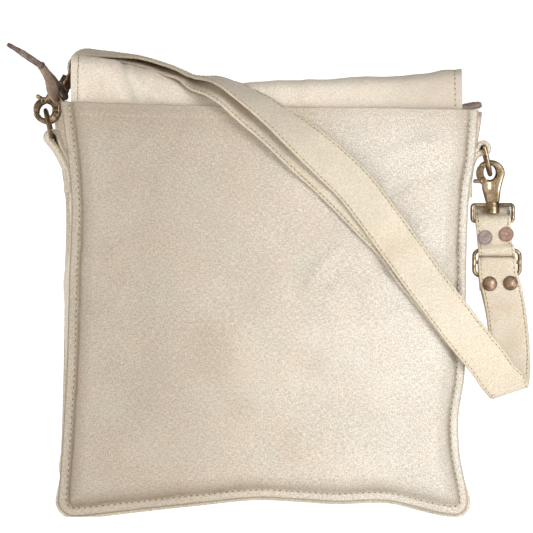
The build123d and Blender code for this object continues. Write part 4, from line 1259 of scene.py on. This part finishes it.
def zip_cloth(side):
    """Thin canvas strip from a panel's hem to the zip, with its tape under the inner edge."""
    name = "back" if side < 0 else "front"
    edge = -33.1 if side < 0 else 35.0
    inner = ZIP_Y + side * 6.6
    rows, uv_rows = [], []
    for i in range(121):
        x = -ZIP_HALF + 2 * ZIP_HALF * i / 120
        row, uv_row = [], []
        for k in range(13):
            t = k / 12
            y = lerp(edge, inner, t)
            sag = -1.1 * math.sin(math.pi * t) + 0.35 * rough(x / 22, t * 3, 130 + side)
            row.append(Vector((x, y, ZIP_Z + 0.4 + sag)))
            uv_row.append((y, x))
        rows.append(row)
        uv_rows.append(uv_row)
    cloth = sheet_object("zip_cloth_" + name, rows, uv_rows, CANVAS_FLAP, 0.9, outward=-side)
    belongs(cloth, "zip_side_" + name, "zip_cloth", "zip_panel_" + name)
    places = [-ZIP_HALF + 2 * ZIP_HALF * i / 80 for i in range(81)]
    rows = [[Vector((x, ZIP_Y + side * (1.7 + 7.0 * k / 5), ZIP_Z - 0.9)) for k in range(6)] for x in places]
    uv_rows = [[(p.y, p.x) for p in row] for row in rows]
    band = sheet_object("zip_band_" + name, rows, uv_rows, ZIP_TAPE, 0.6, outward=0.0)
    belongs(band, "zip_side_" + name, "zip_tape", "zip_tape_" + name)
    sewn = Stitches()
    places = [-ZIP_HALF + 3 + (2 * ZIP_HALF - 6) * i / 100 for i in range(101)]
    line = [Vector((x, inner + side * 1.8, ZIP_Z + 0.55)) for x in places]
    sewn.row(line, [Vector((0, 0, 1))] * 101, 3.6, 2.5, 0.3, 0.1, 140 + side)
    belongs(sewn.make("zip_stitching_" + name, THREAD_TAN), "zip_side_" + name, "zip_cloth")


def zip_ends():
    """Closed tape end under the slider, and the leather tab over the other end."""
    line = [Vector((-161.0 - 23.0 * k / 12, ZIP_Y, ZIP_Z - 1.1 - 1.2 * (k / 12) ** 2)) for k in range(13)]
    stub = ribbon_object("zip_stub_band", line, Vector((0, 1, 0)), 5.0, 1.1, ZIP_TAPE, 0.3)
    belongs(stub, "bag", "zip_tape", "zip_end_stub")
    count = 17
    line, halves, depths = [], [], []
    for k in range(count):
        t = k / (count - 1)
        x = lerp(161.6, 181.2, t)
        line.append(Vector((x, ZIP_Y + 0.4 * math.sin(t * 3), ZIP_Z - 0.4 + 3.4 * t)))
        round_off = math.sqrt(max(0.0, 1 - max(0.0, (t - 0.78) / 0.22) ** 2))
        halves.append(max(8.8 * (0.45 + 0.55 * round_off), 3.0))
        depths.append(6.2 - 1.6 * abs(t - 0.55) - 2.2 * max(0.0, t - 0.9) / 0.1)
    tab = ribbon_object("zip_tab_leather", line, Vector((0, 1, 0)), halves, depths, LEATHER_DARK, 0.5)
    belongs(tab, "bag", "leather", "zip_end_tab")
    sewn = Stitches()
    for face in (1, -1):
        for y in (-6.4, 6.4):
            row = [p + Vector((0, y, face * (d / 2))) for p, d in zip(line[2:13], depths[2:13])]
            sewn.row(row, [Vector((0, 0, face))] * len(row), 3.4, 2.3, 0.34, 0.1, y)
    belongs(sewn.make("zip_tab_stitching", THREAD_TAN), "bag", "leather")


def leather_pull():
    """Zip pull: one leather strip looped round the link, knotted through itself, with a long tail."""
    pivot = Vector((-173.5, ZIP_Y, 349.2))
    lean = math.radians(58.5)
    way = Vector((-math.cos(lean), 0, math.sin(lean)))
    side = Vector((math.sin(lean), 0, math.cos(lean)))
    depth = Vector((0, 1, 0))

    def spot(t, s, d):
        return pivot + way * t + side * s + depth * d

    # Along the pull, to its right, in depth, half width, and how far its face turns from the back
    near = [
        (4.6, 0.2, -0.5, 3.2, 90), (3.4, -2.4, -1.4, 3.8, 60), (4.6, -4.2, -2.3, 4.6, 22),
        (8.8, -3.8, -2.9, 5.2, 4), (14.9, -2.3, -3.0, 4.5, 0), (23.3, -0.2, -2.6, 3.7, 0),
        (29.6, 0.0, -2.0, 3.1, 0), (37.0, -0.3, -1.1, 2.6, 0),
    ]
    far = [
        (4.6, 0.2, 0.7, 3.2, 90), (3.2, 3.0, 1.0, 4.0, 60), (6.0, 4.4, 1.5, 3.8, 66),
        (10.0, 4.6, 1.8, 3.6, 76), (15.8, 4.4, 1.8, 3.4, 80), (21.7, 4.5, 1.6, 3.4, 80),
        (28.7, 3.3, 1.2, 3.2, 70), (37.0, 0.8, 0.5, 2.6, 30),
    ]
    # The tail bends over to the left beyond the knot
    tail = [
        (35.0, 0.6, -0.2, 2.5, 0), (39.3, -0.6, -0.8, 2.8, 4), (47.9, -4.5, -1.1, 2.9, -6),
        (57.6, -9.0, -0.5, 2.7, 4), (66.0, -13.4, 0.3, 2.1, 8), (68.6, -14.8, 0.4, 1.7, 10),
    ]
    pieces = []
    for name, stations, material, thick in (
        ("near", near, LEATHER_SUEDE, 1.9),
        ("far", far, LEATHER_DARK, 1.9),
        ("tail", tail, LEATHER_DARK, 2.2),
    ):
        line = curve_through([spot(t, s, d) for t, s, d, _, _ in stations], 1.0)
        count = len(line)
        widths, acrosses = [], []
        wide = profile(*[(i, st[3]) for i, st in enumerate(stations)])
        angle = profile(*[(i, st[4]) for i, st in enumerate(stations)])
        for k in range(count):
            place = (len(stations) - 1) * k / (count - 1)
            a = math.radians(angle(place))
            widths.append(wide(place) + 0.25 * rough(k / 4, 0, 150))
            acrosses.append(side * math.cos(a) + depth * math.sin(a))
        pieces.append(ribbon_object("pull_" + name, line, acrosses, widths, thick, material, 0.4))
    rows = []
    knot_rows, knot_columns = 9, 14
    for k in range(knot_rows):
        t = lerp(35.0, 39.6, k / (knot_rows - 1))
        swell = math.sin(math.pi * (k + 0.6) / (knot_rows + 0.2))
        for j in range(knot_columns):
            a = math.tau * j / knot_columns
            r_side, r_depth = 2.2 + 1.3 * swell, 1.8 + 1.3 * swell
            lump = 1 + 0.10 * rough(t / 2.2, a, 154)
            s, d = 0.2 + r_side * math.cos(a) * lump, -0.2 + r_depth * math.sin(a) * lump
            rows.append(spot(t + math.cos(a), s, d))
    faces = tube_faces(knot_rows, knot_columns)
    pieces.append(make_object("pull_knot", rows, faces, LEATHER_DARK, [(0, 0)] * len(rows)))
    for obj in pieces:
        belongs(obj, "zip_pull", "leather")
        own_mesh(obj)
    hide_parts("zip_pull")


# ---- Cast metal ------------------------------------------------------------------------------
def cast_copy(name, node_name, body, fullness, passes):
    """The CAD casting with its edges rounded over, as it comes from a worn mould."""
    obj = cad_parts[node_name].copy()
    obj.data = obj.data.copy()
    obj.name = name
    for key in list(obj.keys()):
        del obj[key]
    obj.parent = None
    scene.collection.objects.link(obj)
    remesh = obj.modifiers.new("cast", "REMESH")
    remesh.mode = "VOXEL"
    remesh.voxel_size = 0.4 * MM
    remesh.use_smooth_shade = True
    swell = obj.modifiers.new("full", "DISPLACE")
    swell.mid_level = 0.0
    swell.strength = fullness * MM
    smooth = obj.modifiers.new("worn", "SMOOTH")
    smooth.iterations = passes
    smooth.factor = 0.5
    apply_modifiers(obj)
    obj.data.materials.clear()
    obj.data.materials.append(BRASS)
    obj.data.polygons.foreach_set("use_smooth", [True] * len(obj.data.polygons))
    return belongs(obj, body, "antique_brass", node_name)


def cast_hooks():
    for side in ("left", "right"):
        cast_copy("hook_casting_" + side, "snap_hook_" + side, "hook_" + side, 0.75, 30)
        cast_copy("gate_casting_" + side, "hook_gate_" + side, "gate_" + side, 0.55, 14)


# ---- Assembly ---------------------------------------------------------------------------------
def dress_cad():
    """Procedural finishes for the metal parts kept from the CAD."""
    kinds = (
        (BRASS, "d_ring_left d_ring_right swivel_eye_left swivel_eye_right gate_pin_left gate_pin_right"),
        (BRASS, "slide_adjuster zip_slider pull_link zip_teeth_back zip_teeth_front"),
        (COPPER, "burr_posts dome_caps dome_posts"),
        (STEEL, "gate_spring_left gate_spring_right"),
        (WASHER, "burr_washers"),
    )
    for material, names in kinds:
        for name in names.split():
            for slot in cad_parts[name].material_slots:
                slot.link = "OBJECT"
                slot.material = material


def add_floor():
    half = 1500.0
    rows = [[Vector((x * half / 8, y * half / 8, -0.02)) for x in range(-8, 9)] for y in range(-8, 9)]
    verts = [p for row in rows for p in row]
    floor = make_object("floor", verts, grid_faces(17, 17), floor_material())


add_camera()
add_light()
add_floor()
dress_cad()
cast_hooks()
gusset_cloth()
panel_cloth(-1, "back_panel_cloth", "back_panel")
panel_cloth(1, "front_panel_cloth", "front_panel")
panel_stitches(-1, "back_panel_stitching")
panel_stitches(1, "front_panel_stitching")
gusset_join()
add_flap()
add_strap()
loop_cloth(-1, (-184.5, 321.5), (174.2, 302.0), 274.0, 4.1, 0.2)
loop_cloth(1, (183.5, 312.0), (175.4, 306.0), 270.0, 4.1, 0.1)
zip_cloth(-1)
zip_cloth(1)
zip_ends()
leather_pull()
